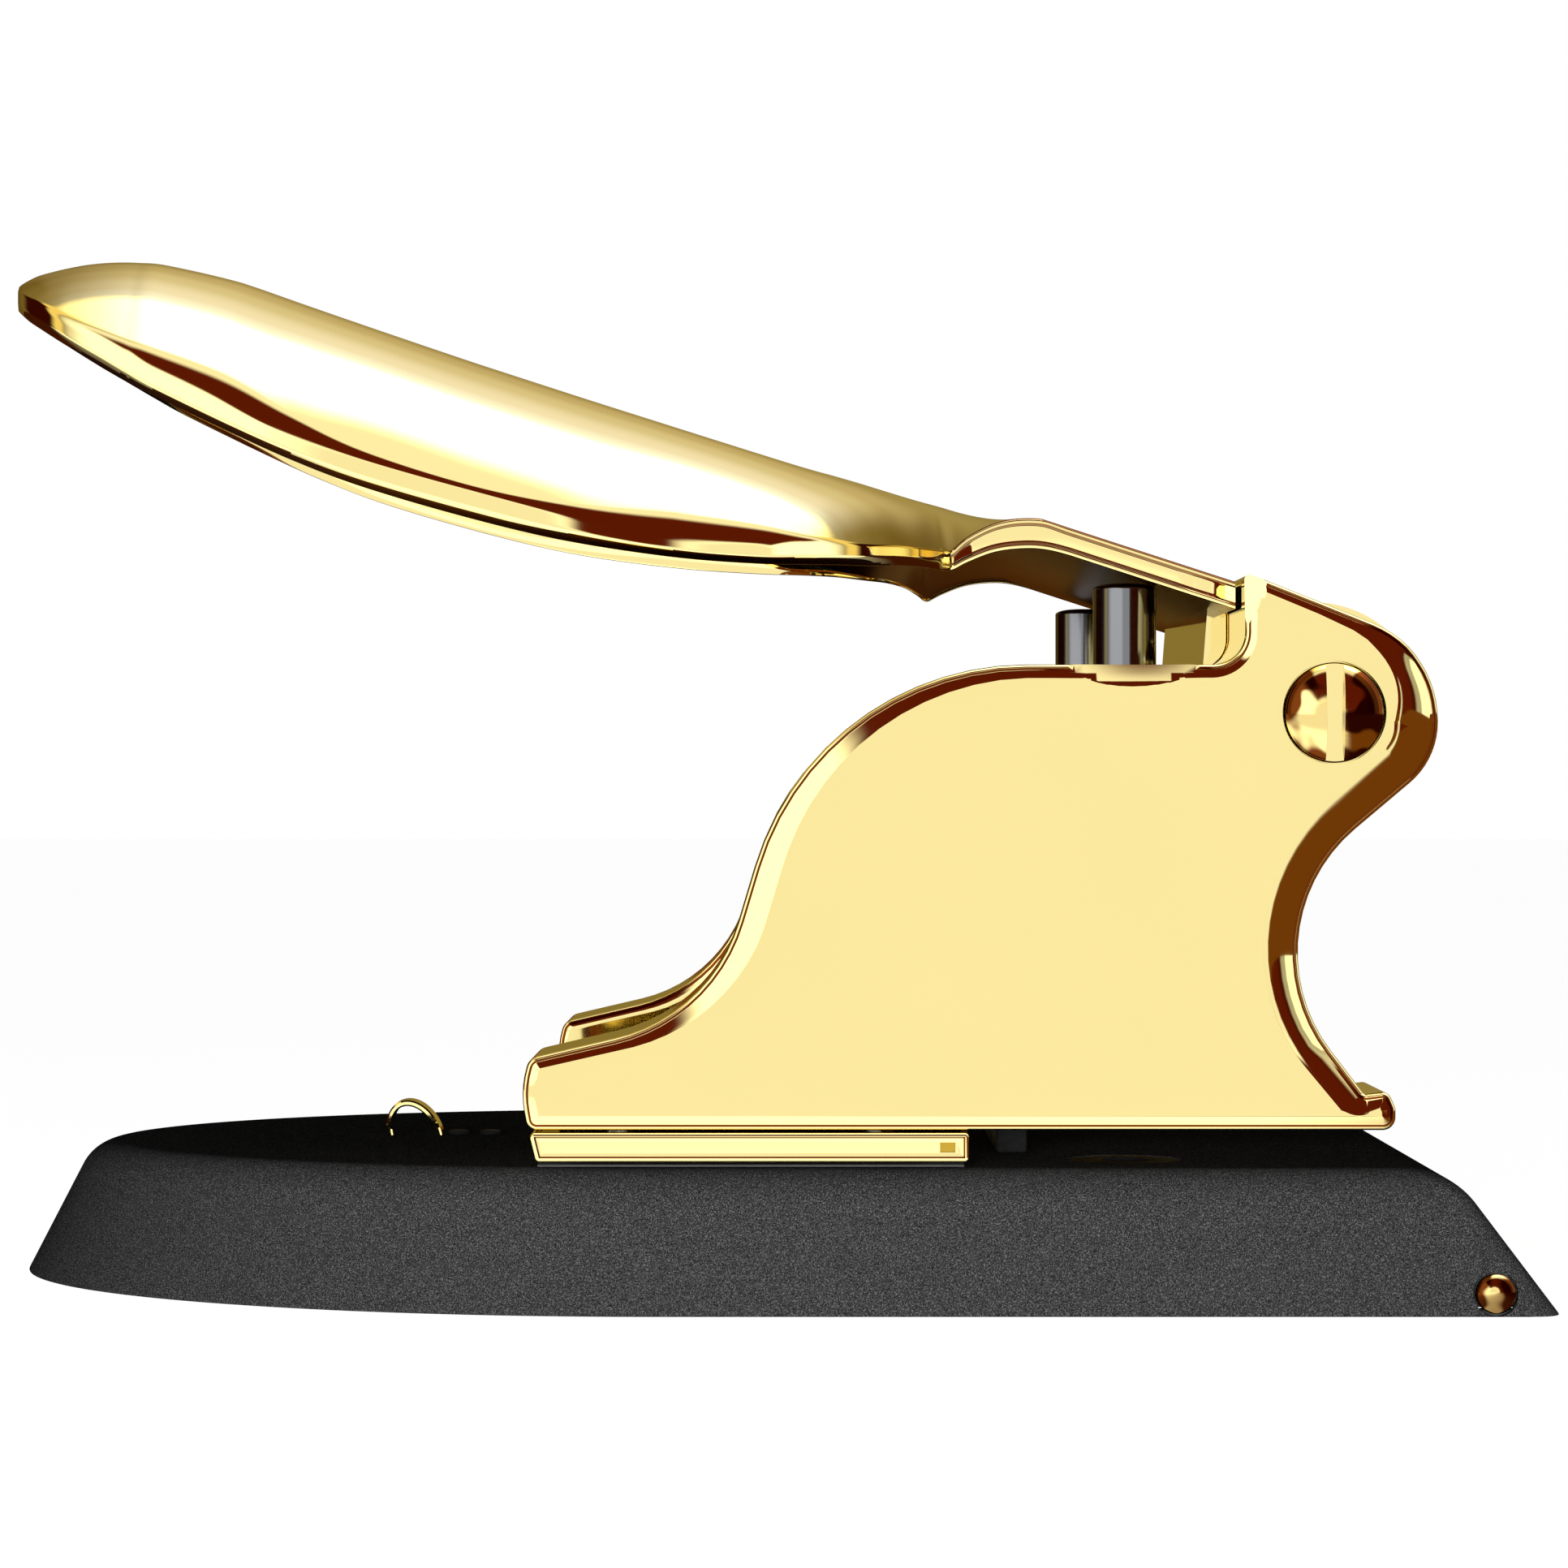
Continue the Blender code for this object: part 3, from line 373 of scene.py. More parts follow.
def centre_of(node):
    low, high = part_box(node)
    return (Vector(low) + Vector(high)) / 2


def size_of(node):
    low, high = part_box(node)
    return Vector(high) - Vector(low)


def ring_corners(outer, inner, low, high, fillet=0.00015):
    """Outline of a plain ring."""
    return [(inner, low, fillet), (outer, low, fillet), (outer, high, fillet), (inner, high, fillet)]


# ---- base


BASE_LOW, BASE_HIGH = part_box("base_casting")
BASE_TOP = BASE_HIGH[2]
BASE_BOTTOM = BASE_LOW[2]
BASE_REAR_X = BASE_HIGH[0]
BASE_LENGTH = BASE_HIGH[0] - BASE_LOW[0]
BASE_WIDTH = BASE_HIGH[1] - BASE_LOW[1]
NOSE_LENGTH = 0.0862
FRONT_RUN, SIDE_RUN, REAR_RUN = 0.0090, 0.0055, 0.0127
FRONT_ROUND, SIDE_ROUND, REAR_ROUND = 0.0060, 0.0060, 0.0100
BASE_CORNER = 0.0025
LOW_ROUND = 0.0003
BASE_WALL = 0.0045
BASE_ROOF = 0.0040
SKIRT_HEIGHT = 0.0054
CAVITY_TOP = BASE_TOP - BASE_ROOF
GAP = 0.0003
PAST = 0.002  # how far a cutter reaches beyond what it cuts
DIE_FLANGE_HEIGHT = 0.0028
DIE_NECK_RADIUS = 0.0050
SCREW_HOLE_RADIUS = 0.0026
STOP_SCREW_HOLE_RADIUS = 0.0015
GASKET_THICKNESS = 0.0009
GASKET_OUTER, GASKET_INNER = 0.0016, 0.0039  # in from the base's rim
LID_BOTTOM = 0.0009
LID_THICKNESS = 0.0014
LID_NARROW, LID_NARROW_LENGTH = 0.0012, 0.0042
LID_BARREL_RADIUS = 0.0021
LID_BARREL_HALF = 0.0540


def base_outline(front, side, rear, z, nose_steps=120, corner_steps=8):
    """The base's plan at height z, drawn in by these amounts at the front, sides and rear."""
    half_width = BASE_WIDTH / 2 - side
    nose_x = BASE_REAR_X - BASE_LENGTH + NOSE_LENGTH
    rear_x = BASE_REAR_X - rear
    points = []
    for step in range(nose_steps + 1):
        angle = math.pi / 2 + math.pi * step / nose_steps
        x = nose_x + (NOSE_LENGTH - front) * math.cos(angle)
        points.append((x, half_width * math.sin(angle), z))
    for sign in (-1, 1):
        for step in range(corner_steps + 1):
            share = step / corner_steps if sign < 0 else 1 - step / corner_steps
            angle = math.pi / 2 * share
            x = rear_x - BASE_CORNER * (1 - math.sin(angle))
            y = half_width - BASE_CORNER * (1 - math.cos(angle))
            points.append((x, sign * y, z))
    return points


def lean(run, radius, z):
    """How far a leaning face of the base has come in at height z, with its rounded top edge."""
    height = BASE_TOP - BASE_BOTTOM
    rise = z - BASE_BOTTOM
    slope = math.atan2(run, height)
    if rise <= height - radius * (1 - math.sin(slope)):
        return run * rise / height
    centre = run * (height - radius) / height + radius / math.cos(slope)
    return centre - math.sqrt(max(radius**2 - (rise - height + radius) ** 2, 0))


def base_ring(z):
    """One level of the base's outside. Its lowest edge is broken by a small radius."""
    below = max(LOW_ROUND - (z - BASE_BOTTOM), 0)
    inset = LOW_ROUND - math.sqrt(max(LOW_ROUND**2 - below**2, 0))
    return base_outline(
        lean(FRONT_RUN, FRONT_ROUND, z) + inset,
        lean(SIDE_RUN, SIDE_ROUND, z) + inset,
        lean(REAR_RUN, REAR_ROUND, z) + inset,
        z,
    )


def base_levels():
    levels = [BASE_BOTTOM + LOW_ROUND * (1 - math.cos(math.radians(a))) for a in (0, 30, 60, 90)]
    start = BASE_TOP - REAR_ROUND
    levels += [BASE_BOTTOM + (start - BASE_BOTTOM) * k / 6 for k in range(1, 6)]
    for step in range(25):
        levels.append(BASE_TOP - REAR_ROUND * (1 - math.sin(math.pi / 2 * step / 24)))
    return sorted(levels)


def cavity_ring(z, extra=0.0):
    rise = max(z - SKIRT_HEIGHT, 0) / (BASE_TOP - BASE_BOTTOM)
    wall = BASE_WALL + extra
    return base_outline(
        wall + 0.0010 + FRONT_RUN * rise,
        wall + SIDE_RUN * rise,
        wall + 0.0009 + REAR_RUN * rise,
        z,
    )


def build_base():
    base = loft("base_body", [base_ring(z) for z in base_levels()], angle=40)
    below = BASE_BOTTOM - PAST
    lip = 0.0013
    cutters = [
        loft("rebate", [base_outline(lip, lip, lip, z) for z in (below, 0.0012)]),
        loft("cavity", [cavity_ring(z) for z in (below, SKIRT_HEIGHT, CAVITY_TOP)]),
    ]
    for name, side in SIDES.items():
        die, die_size = centre_of(f"die_{name}"), size_of(f"die_{name}")
        flange_floor = BASE_TOP - DIE_FLANGE_HEIGHT - GAP
        top = BASE_TOP + PAST
        seat = die_size.x / 2 + GAP
        cutters.append(upright("seat", seat, die, flange_floor, top))
        cutters.append(upright("neck", DIE_NECK_RADIUS + GAP, die, CAVITY_TOP - PAST, top))
        screws = [f"cheek_screw_{name}_front", f"cheek_screw_{name}_rear", f"stop_screw_{name}"]
        radii = (SCREW_HOLE_RADIUS, SCREW_HOLE_RADIUS, STOP_SCREW_HOLE_RADIUS)
        for screw, radius in zip(screws, radii):
            cutters.append(upright("hole", radius, centre_of(screw), CAVITY_TOP - PAST, top))
        cap = centre_of(f"lid_pin_cap_{name}")
        edge = BASE_WIDTH / 2
        for radius, start, end in ((0.0014, 0.0065, 0.0015), (0.00275, 0.0020, -0.002)):
            cutters.append(across("cap", radius, cap, side * (edge - start), side * (edge - end)))
    combine(base, cutters)
    even_shading(base)
    show(base, "base_casting", COAT)

    outer, inner = [GASKET_OUTER] * 3, [GASKET_INNER] * 3
    gasket = loft("base_ring", [base_outline(*outer, z) for z in (0, GASKET_THICKNESS)])
    hole = loft("hole", [base_outline(*inner, z) for z in (-0.001, 0.002)])
    combine(gasket, [hole])
    soften(gasket, 0.0002)
    show(gasket, "base_gasket", RUBBER)


def build_lid():
    c = centre_of("lid_hinge_pin")
    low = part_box("chip_lid")[0]
    bottom, top = LID_BOTTOM, LID_BOTTOM + LID_THICKNESS
    rings = []
    for z in (bottom, top):
        nose = [(x, y, z) for x, y, _ in cavity_ring(0, GAP)[:-18]]
        half = nose[0][1]
        start = c.x - LID_NARROW_LENGTH
        narrow = [(start, half), (start + LID_NARROW, half - LID_NARROW), (c.x, half - LID_NARROW)]
        near = [(x, -y, z) for x, y in narrow]
        rings.append(nose + near + [(x, y, z) for x, y in reversed(narrow)])
    lid = loft("lid_plate", rings)
    half = LID_BARREL_HALF
    combine(lid, [across("barrel", LID_BARREL_RADIUS, c, -half, half)], "UNION")
    bore = size_of("lid_hinge_pin").x / 2 + 0.0002
    cutters = [across("bore", bore, c, -half * 1.1, half * 1.1)]
    for k in range(5):
        x = low[0] + 0.012 + 0.0036 * k
        half_grip = 0.014 - 0.0004 * abs(k - 2)
        start, end = (x, -half_grip, bottom - 0.001), (x + 0.0016, half_grip, bottom + 0.0005)
        cutters.append(box("grip", start, end))
    combine(lid, cutters)
    soften(lid, 0.0002)
    show(lid, "chip_lid", PLASTIC)

    half = size_of("lid_hinge_pin").y / 2
    radius = size_of("lid_hinge_pin").x / 2
    pin = turned(
        "lid_pin",
        [(0, -half, 0), (radius, -half, 0.0003), (radius, half, 0.0003), (0, half, 0)],
        c,
        (0, 1, 0),
    )
    show(pin, "lid_hinge_pin", CHROME)
    for name, side in SIDES.items():
        cap = centre_of(f"lid_pin_cap_{name}")
        inner = side * (BASE_WIDTH / 2) - side * 0.0015
        radius = size_of(f"lid_pin_cap_{name}").x / 2
        outline = dome(radius, 0.0010, 0.0010)
        piece = turned("lid_cap_" + name, outline, (cap.x, inner, cap.z), (0, side, 0))
        # The cap gets gold with painted dark reflections.
        show(piece, f"lid_pin_cap_{name}", REFLECTION_PAINTED_GOLD)


def dome(radius, seat, height, steps=12):
    """Outline of a disc from 0 up to seat, with a dome of this height on it."""
    corners = [(0, 0, 0), (radius, 0, 0)]
    for k in range(steps + 1):
        angle = math.pi / 2 * k / steps
        corners.append((radius * math.cos(angle), seat + height * math.sin(angle), 0))
    return corners


# ---- cheeks and sole bars


PIVOT = centre_of("pivot_shaft")
CHEEK_LOW, CHEEK_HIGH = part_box("cheek_far")
CHEEK_INNER, CHEEK_OUTER = CHEEK_LOW[1], CHEEK_HIGH[1]
CHEEK_BOTTOM = CHEEK_LOW[2]
TOE_X = -0.0273
HEEL_X = 0.0787
CROWN_TOP = 0.0799
SHOULDER_X, SHOULDER_TOP = 0.06125, 0.0913
LOBE_RADIUS = 0.0131
LOBE_TOP, LOBE_BOTTOM = 0.0078, -0.0057  # from the pivot's height
BEAD = 0.00050
CREASE = 0.00020
CREASE_DEPTH = 0.00003
BEAD_STEPS, SLOPE_STEPS = 7, 10
SCOOP_RADIUS, SCOOP_OUT, SCOOP_UP = 0.0346, 0.0300, 0.0143
PIN_BORE_RADIUS = 0.0049
SHAFT_HOLE_RADIUS = 0.0053
HEAD_SEAT_DEPTH = 0.0046
THREAD_DEPTH = 0.009


def cheek_corners():
    """(x, z, corner radius, widths of the soft slope where the corner starts and ends)"""
    lobe_x = PIVOT.x + LOBE_RADIUS
    slope = Vector((SHOULDER_X - lobe_x, SHOULDER_TOP - PIVOT.z - LOBE_TOP))

    def on_slope(share, width):
        z = PIVOT.z + LOBE_TOP + share * slope.y
        return (lobe_x + share * slope.x, z, 0, width, width)

    return [
        (TOE_X, CHEEK_BOTTOM, 0.0014, 0.0009, 0.0009),
        (HEEL_X + 0.0011, CHEEK_BOTTOM, 0.0016, 0.0009, 0.0009),
        (HEEL_X + 0.0011, CHEEK_BOTTOM + 0.0027, 0.0012, 0.0010, 0.0010),
        (HEEL_X + 0.0002, CHEEK_BOTTOM + 0.0048, 0.0012, 0.0010, 0.0010),
        (HEEL_X - 0.0027, CHEEK_BOTTOM + 0.0044, 0.0004, 0.0016, 0.0026),
        (PIVOT.x - 0.0117, PIVOT.z - 0.0266, 0.0200, 0.0033, 0.0044),
        (lobe_x, PIVOT.z + LOBE_BOTTOM, 0.0098, 0.0046, 0.0050),
        (lobe_x, PIVOT.z + LOBE_TOP, 0.0130, 0.0050, 0.0016),
        on_slope(0.42, 0.0008),
        on_slope(0.60, 0.0006),
        on_slope(0.85, 0.0006),
        (SHOULDER_X, SHOULDER_TOP, 0.0006, 0.0006, 0.0006),
        (SHOULDER_X, CROWN_TOP, 0.0040, 0.0007, 0.0009),
        (TOE_X + 0.0355, CROWN_TOP, 0.0350, 0.0009, 0.0026),
        (TOE_X + 0.0225, CHEEK_BOTTOM + 0.0141, 0.0210, 0.0026, 0.0008),
        (TOE_X + 0.0002, CHEEK_BOTTOM + 0.0089, 0.0018, 0.0008, 0.0008),
        (TOE_X - 0.0009, CHEEK_BOTTOM + 0.0050, 0.0120, 0.0009, 0.0008),
    ]


def soft_widths(corners):
    """The slope's width at each point that rounded() makes, evened out along the outline."""
    widths = []
    for i, (x, z, radius, start, end) in enumerate(corners):
        before = Vector((x, z)) - Vector(corners[i - 1][:2])
        after = Vector(corners[(i + 1) % len(corners)][:2]) - Vector((x, z))
        turn = math.atan2(before.cross(after), before.dot(after))
        count = max(1, math.ceil(abs(turn) / math.radians(6))) if radius > 0 else 0
        widths += [start + (end - start) * k / max(count, 1) for k in range(count + 1)]
    for _ in range(2):
        padded = [widths[-1], *widths, widths[0]]
        widths = [(a + 2 * b + c) / 4 for a, b, c in zip(padded, padded[1:], padded[2:])]
    return widths


def cheek_rings():
    """Levels from the cheek's inner side to its face: a wall, a small bead, a crease, and a slope
    that is soft and deep where it is broad."""
    corners = cheek_corners()
    plain = [c[:3] for c in corners]
    widths = soft_widths(corners)
    drawn = {}

    def inset_point(k, inset):
        inset = round(inset, 7)
        if inset not in drawn:
            drawn[inset] = rounded(plain, inset)
        return drawn[inset][k]

    def level(insets, ys):
        points = [inset_point(k, inset) for k, inset in enumerate(insets)]
        return [(p.x, y, p.y) for p, y in zip(points, ys)]

    count = len(widths)
    broad = [min(max((w - 0.0029) / 0.0003, 0), 1) for w in widths]
    depths = [w * (0.25 + 0.17 * b) for w, b in zip(widths, broad)]
    powers = [1.25 + 1.15 * b for b in broad]
    narrow = [min(w, 0.0012) for w in widths]
    rings = [
        level([BEAD + CREASE + w for w in narrow], [CHEEK_INNER] * count),
        level([BEAD + CREASE] * count, [CHEEK_INNER + 0.27 * w for w in narrow]),
    ]
    foot = [CHEEK_INNER + 0.27 * w for w in narrow]
    crest = [CHEEK_OUTER - depth for depth in depths]
    beads = [(9 + 13.5 * k, foot, 1) for k in range(1, BEAD_STEPS)]
    beads += [(90 - 13.5 * k, crest, -1) for k in range(BEAD_STEPS)]
    for degrees, start, sign in beads:
        angle = math.radians(degrees)
        rise = sign * BEAD * (1 - math.cos(angle))
        rings.append(level([BEAD * (1 - math.sin(angle))] * count, [y + rise for y in start]))
    rings.append(level([BEAD + CREASE] * count, [y - CREASE_DEPTH for y in crest]))
    for k in range(1, SLOPE_STEPS + 1):
        t = 1 - k / SLOPE_STEPS
        insets = [BEAD + CREASE + w * (1 - t) for w in widths]
        ys = [CHEEK_OUTER - CREASE_DEPTH - d * t**p for d, p in zip(depths, powers)]
        rings.append(level(insets, ys))
    flat = [BEAD + CREASE + w + 0.00015 for w in widths]
    rings.append(level(flat, [CHEEK_OUTER] * count))
    return rings


def build_cheek(name, side):
    rings = [[(x, side * y, z) for x, y, z in ring] for ring in cheek_rings()]
    cheek = loft("cheek_body_" + name, rings, 28, creases=(1, 2 * BEAD_STEPS))
    # The crease bands on either side of the bead get gold with painted crease shade.
    cheek.data.materials.append(GOLD)
    cheek.data.materials.append(CREASE_SHADE_GOLD)
    pin = centre_of(f"punch_pin_{name}")
    head = size_of(f"pivot_screw_{name}").x / 2 + 0.0002
    seat = CHEEK_OUTER - HEAD_SEAT_DEPTH
    screws = [centre_of(f"cheek_screw_{name}_{place}") for place in ("front", "rear")]
    low = CHEEK_BOTTOM - PAST
    scoop_centre = (pin.x, side * (CHEEK_OUTER + SCOOP_OUT), CROWN_TOP + SCOOP_UP)
    cutters = [
        sphere("scoop", scoop_centre, SCOOP_RADIUS),
        upright("bore", PIN_BORE_RADIUS, pin, low, CROWN_TOP + PAST),
        across("shaft", SHAFT_HOLE_RADIUS, PIVOT, side * (CHEEK_INNER - PAST), side * (seat + 0.001)),
        across("head", head, PIVOT, side * seat, side * (CHEEK_OUTER + PAST)),
    ]
    for c in screws:
        cutters.append(upright("thread", SCREW_HOLE_RADIUS, c, low, CHEEK_BOTTOM + THREAD_DEPTH))
    combine(cheek, cutters)
    even_shading(cheek)
    show(cheek, f"cheek_{name}", None)


def screw_holes(name, low, high):
    """Cutters for the two cheek screws, through what lies between these heights."""
    holes = []
    for place in ("front", "rear"):
        c = centre_of(f"cheek_screw_{name}_{place}")
        holes.append(upright("hole", SCREW_HOLE_RADIUS, c, low - PAST, high + PAST))
    return holes


def build_sole(name, side):
    """A gold bar with a sunk panel and a small cell in its face, with painted shade at the panel's
    edge and in the cell, and the black pad under it, which also stands in for the shadow line under
    the bar.
    """
    low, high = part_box(f"sole_bar_{name}")
    corners = [
        (low[0] + 0.0009, low[2], 0.0006),
        (high[0], low[2], 0.0006),
        (high[0], high[2], 0.0005),
        (low[0], high[2], 0.0006),
    ]
    inner, outer = CHEEK_INNER, CHEEK_OUTER
    sections = [(inner, 0.0003), (inner + 0.0003, 0)]
    for k in range(5):
        angle = math.pi / 2 * k / 4
        sections.append((outer - 0.0004 * (1 - math.sin(angle)), 0.0004 * (1 - math.cos(angle))))
    first = len(sections)
    sections += [(outer, 0.00050), (outer - 0.00040, 0.00070), (outer - 0.00042, 0.00110)]
    rings = [[(p.x, side * y, p.y) for p in rounded(corners, inset)] for y, inset in sections]
    bar = loft("sole_" + name, rings, 40, creases=(first,))
    # The band at the sunk panel's edge gets gold with painted crease shade; the cell gets painted
    # shade below.
    for material in (GOLD, CREASE_SHADE_GOLD, CELL_SHADE_GOLD):
        bar.data.materials.append(material)
    combine(bar, screw_holes(name, low[2], high[2]))
    cell_low, cell_high = high[0] - 0.0036, high[0] - 0.0017
    ends = sorted((side * (outer - 0.0008), side * (outer + 0.0010)))
    frame_width = 0.0012
    start = (cell_low, ends[0], low[2] + frame_width)
    cell = box("cell", start, (cell_high, ends[1], high[2] - frame_width))
    combine(bar, [cell])
    # The cell's walls get gold with painted crease shade, and its floor darker satin gold with painted
    # shade.
    for face in bar.data.polygons:
        inside = cell_low - 0.0001 < face.center.x < cell_high + 0.0001
        if inside and outer - 0.0009 < abs(face.center.y) < outer - 0.0005:
            face.material_index = 2 if abs(face.normal.y) > 0.9 else 1
    even_shading(bar)
    show(bar, f"sole_bar_{name}", None)
    # The black rubber pad under the bar; its black also stands in for the shadow line under the bar.
    low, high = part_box(f"sole_pad_{name}")
    pad = box("sole_rubber_and_shadow_line_" + name, low, high, 0.0001)
    combine(pad, screw_holes(name, low[2], high[2]))
    show(pad, f"sole_pad_{name}", RUBBER)


# ---- turned pieces and screws


PIN_RADIUS, PIN_COLLAR_RADIUS, PIN_HEAD_RADIUS = 0.0030, 0.0045, 0.0040
PIN_COLLAR_LOW, PIN_COLLAR_HIGH = 0.0700, 0.0720
PIN_DOME = 0.0008
BUSH_RADIUS, BUSH_BORE = 0.0046, 0.0032
SLEEVE_BORE = 0.0042
DIE_BORE, DIE_RADIUS = 0.0032, 0.0070
SPRING_RADIUS, SPRING_WIRE = 0.00392, 0.0005
SHAFT_RADIUS, SHAFT_BORE, SHAFT_BORE_DEPTH = 0.0050, 0.0029, 0.011
PIVOT_THREAD_RADIUS, PIVOT_HEAD_RADIUS, PIVOT_DOME = 0.0026, 0.0062, 0.0021
SLOT_HALF_WIDTH = 0.00112


def build_screw(node, head_radius, head_height, shank_radius):
    """A cheese-head screw seen from below, with a cross recess."""
    low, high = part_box(node)
    c = centre_of(node)
    seat = low[2] + head_height
    corners = [
        (0, low[2], 0),
        (head_radius, low[2], 0.0004),
        (head_radius, seat, 0.0002),
        (shank_radius, seat, 0.0002),
        (shank_radius, high[2], 0.0004),
        (0, high[2], 0),
    ]
    screw = turned(node + "_body", corners, (c.x, c.y, 0))
    arm = head_radius * 0.55
    half = head_radius * 0.12
    depth = low[2] + head_height * 0.45
    cutters = [
        box("x", (c.x - arm, c.y - half, low[2] - 0.001), (c.x + arm, c.y + half, depth)),
        box("y", (c.x - half, c.y - arm, low[2] - 0.001), (c.x + half, c.y + arm, depth)),
    ]
    combine(screw, cutters)
    soften(screw, 0.00008, angle=50)
    show(screw, node, CHROME)


def build_turned(node, corners, origin, axis, material):
    """A turned piece that stands for this CAD node."""
    piece = turned(node + "_body", corners, origin, axis)
    show(piece, node, material)
    return piece


def build_punching():
    """The pins, the dies, and what guides and lifts the pins."""
    for name in SIDES:
        pin = f"punch_pin_{name}"
        low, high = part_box(pin)
        c = centre_of(pin)
        head = PIN_HEAD_RADIUS
        corners = [
            (0, low[2] + 0.0008, 0),
            (PIN_RADIUS, low[2], 0.00005),
            (PIN_RADIUS, PIN_COLLAR_LOW, 0),
            (PIN_COLLAR_RADIUS, PIN_COLLAR_LOW, 0.0002),
            (PIN_COLLAR_RADIUS, PIN_COLLAR_HIGH, 0.0002),
            (head, PIN_COLLAR_HIGH, 0),
        ]
        top = high[2] - PIN_DOME
        for k in range(13):
            angle = math.pi / 2 * k / 12
            corners.append((head * math.cos(angle) ** 0.7, top + PIN_DOME * math.sin(angle), 0))
        piece = build_turned(pin, corners, (c.x, c.y, 0), (0, 0, 1), CHROME)
        even_shading(piece)

        low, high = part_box(f"die_{name}")
        corners = [
            (DIE_BORE, low[2], 0.0001),
            (DIE_NECK_RADIUS, low[2], 0.0002),
            (DIE_NECK_RADIUS, BASE_TOP - DIE_FLANGE_HEIGHT, 0.0001),
            (DIE_RADIUS, BASE_TOP - DIE_FLANGE_HEIGHT, 0.0002),
            (DIE_RADIUS, high[2], 0.0003),
            (DIE_BORE, high[2], 0.00005),
        ]
        foot, up = (c.x, c.y, 0), (0, 0, 1)
        build_turned(f"die_{name}", corners, foot, up, DIE_STEEL)
        low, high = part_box(f"guide_bush_{name}")
        corners = ring_corners(BUSH_RADIUS, BUSH_BORE, low[2], high[2])
        build_turned(f"guide_bush_{name}", corners, foot, up, BRONZE)
        low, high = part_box(f"bore_sleeve_{name}")
        corners = ring_corners(BUSH_RADIUS, SLEEVE_BORE, low[2], high[2], 0.0001)
        build_turned(f"bore_sleeve_{name}", corners, foot, up, GOLD)
        build_spring(name)


def build_spring(name):
    node = f"return_spring_{name}"
    low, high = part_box(node)
    c = centre_of(node)
    turns, per_turn = 8, 24
    bottom, top = low[2] + SPRING_WIRE, high[2] - SPRING_WIRE
    curve = bpy.data.curves.new(node, "CURVE")
    curve.dimensions = "3D"
    curve.bevel_depth = SPRING_WIRE
    curve.bevel_resolution = 3
    curve.use_fill_caps = True
    spline = curve.splines.new("POLY")
    count = turns * per_turn + 1
    spline.points.add(count - 1)
    for i, point in enumerate(spline.points):
        angle = 2 * math.pi * i / per_turn
        height = bottom + (top - bottom) * i / (count - 1)
        x = c.x + SPRING_RADIUS * math.cos(angle)
        point.co = (x, c.y + SPRING_RADIUS * math.sin(angle), height, 1)
    source = bpy.data.objects.new(node + "_curve", curve)
    bpy.context.scene.collection.objects.link(source)
    mesh = evaluated_mesh(source)
    bpy.data.objects.remove(source)
    bm = bmesh.new()
    bm.from_mesh(mesh)
    bmesh.ops.remove_doubles(bm, verts=bm.verts, dist=1e-6)
    spring = make_object(node + "_coil", bm, 60)
    show(spring, node, CHROME)
    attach(spring, "base")
    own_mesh(spring)


def build_pivot():
    half = size_of("pivot_shaft").y / 2
    end = [
        (SHAFT_RADIUS, half, 0.0003),
        (SHAFT_BORE, half, 0.0002),
        (SHAFT_BORE, half - SHAFT_BORE_DEPTH, 0),
        (0, half - SHAFT_BORE_DEPTH, 0),
    ]
    corners = [(radius, -y, fillet) for radius, y, fillet in reversed(end)] + end
    build_turned("pivot_shaft", corners, PIVOT, (0, 1, 0), CHROME)
    for name, side in SIDES.items():
        washer = (f"pivot_washer_{name}", 0.0090, 0.0053)
        bush = (f"hub_bush_{name}", 0.0065, 0.0052)
        for node, outer, inner in (washer, bush):
            c, thick = centre_of(node), size_of(node).y / 2
            corners = ring_corners(outer, inner, -thick, thick)
            build_turned(node, corners, c, (0, side, 0), BRONZE)
        node = f"pivot_screw_{name}"
        inner_end = min(abs(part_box(node)[0][1]), abs(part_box(node)[1][1]))
        head = PIVOT_HEAD_RADIUS
        seat = CHEEK_OUTER - HEAD_SEAT_DEPTH + GAP - inner_end
        corners = [
            (0, 0, 0),
            (PIVOT_THREAD_RADIUS, 0, 0.0003),
            (PIVOT_THREAD_RADIUS, seat, 0),
            (head, seat, 0.0002),
        ]
        rim = CHEEK_OUTER - 0.0003 - inner_end
        for k in range(17):
            angle = math.pi / 2 * k / 16
            corners.append((head * math.cos(angle), rim + PIVOT_DOME * math.sin(angle), 0))
        origin = (PIVOT.x, side * inner_end, PIVOT.z)
        screw = turned(node + "_body", corners, origin, (0, side, 0), steps=96)
        floor = CHEEK_OUTER + 0.0002
        ends = sorted((side * floor, side * (CHEEK_OUTER + 0.004)))
        slot = box(
            "slot",
            (PIVOT.x - SLOT_HALF_WIDTH, ends[0], PIVOT.z - 0.008),
            (PIVOT.x + SLOT_HALF_WIDTH, ends[1], PIVOT.z + 0.008),
        )
        combine(screw, [slot])
        soften(screw, 0.00009, angle=55)
        # The screw gets gold with painted dark reflections; the slot's floor gets plain gold.
        show(screw, node, REFLECTION_PAINTED_GOLD)
        screw.data.materials.append(GOLD)
        for face in screw.data.polygons:
            in_slot = abs(face.center.x - PIVOT.x) < SLOT_HALF_WIDTH + 0.00001
            if in_slot and abs(face.normal.y) > 0.9:
                face.material_index = 1


# ---- lever


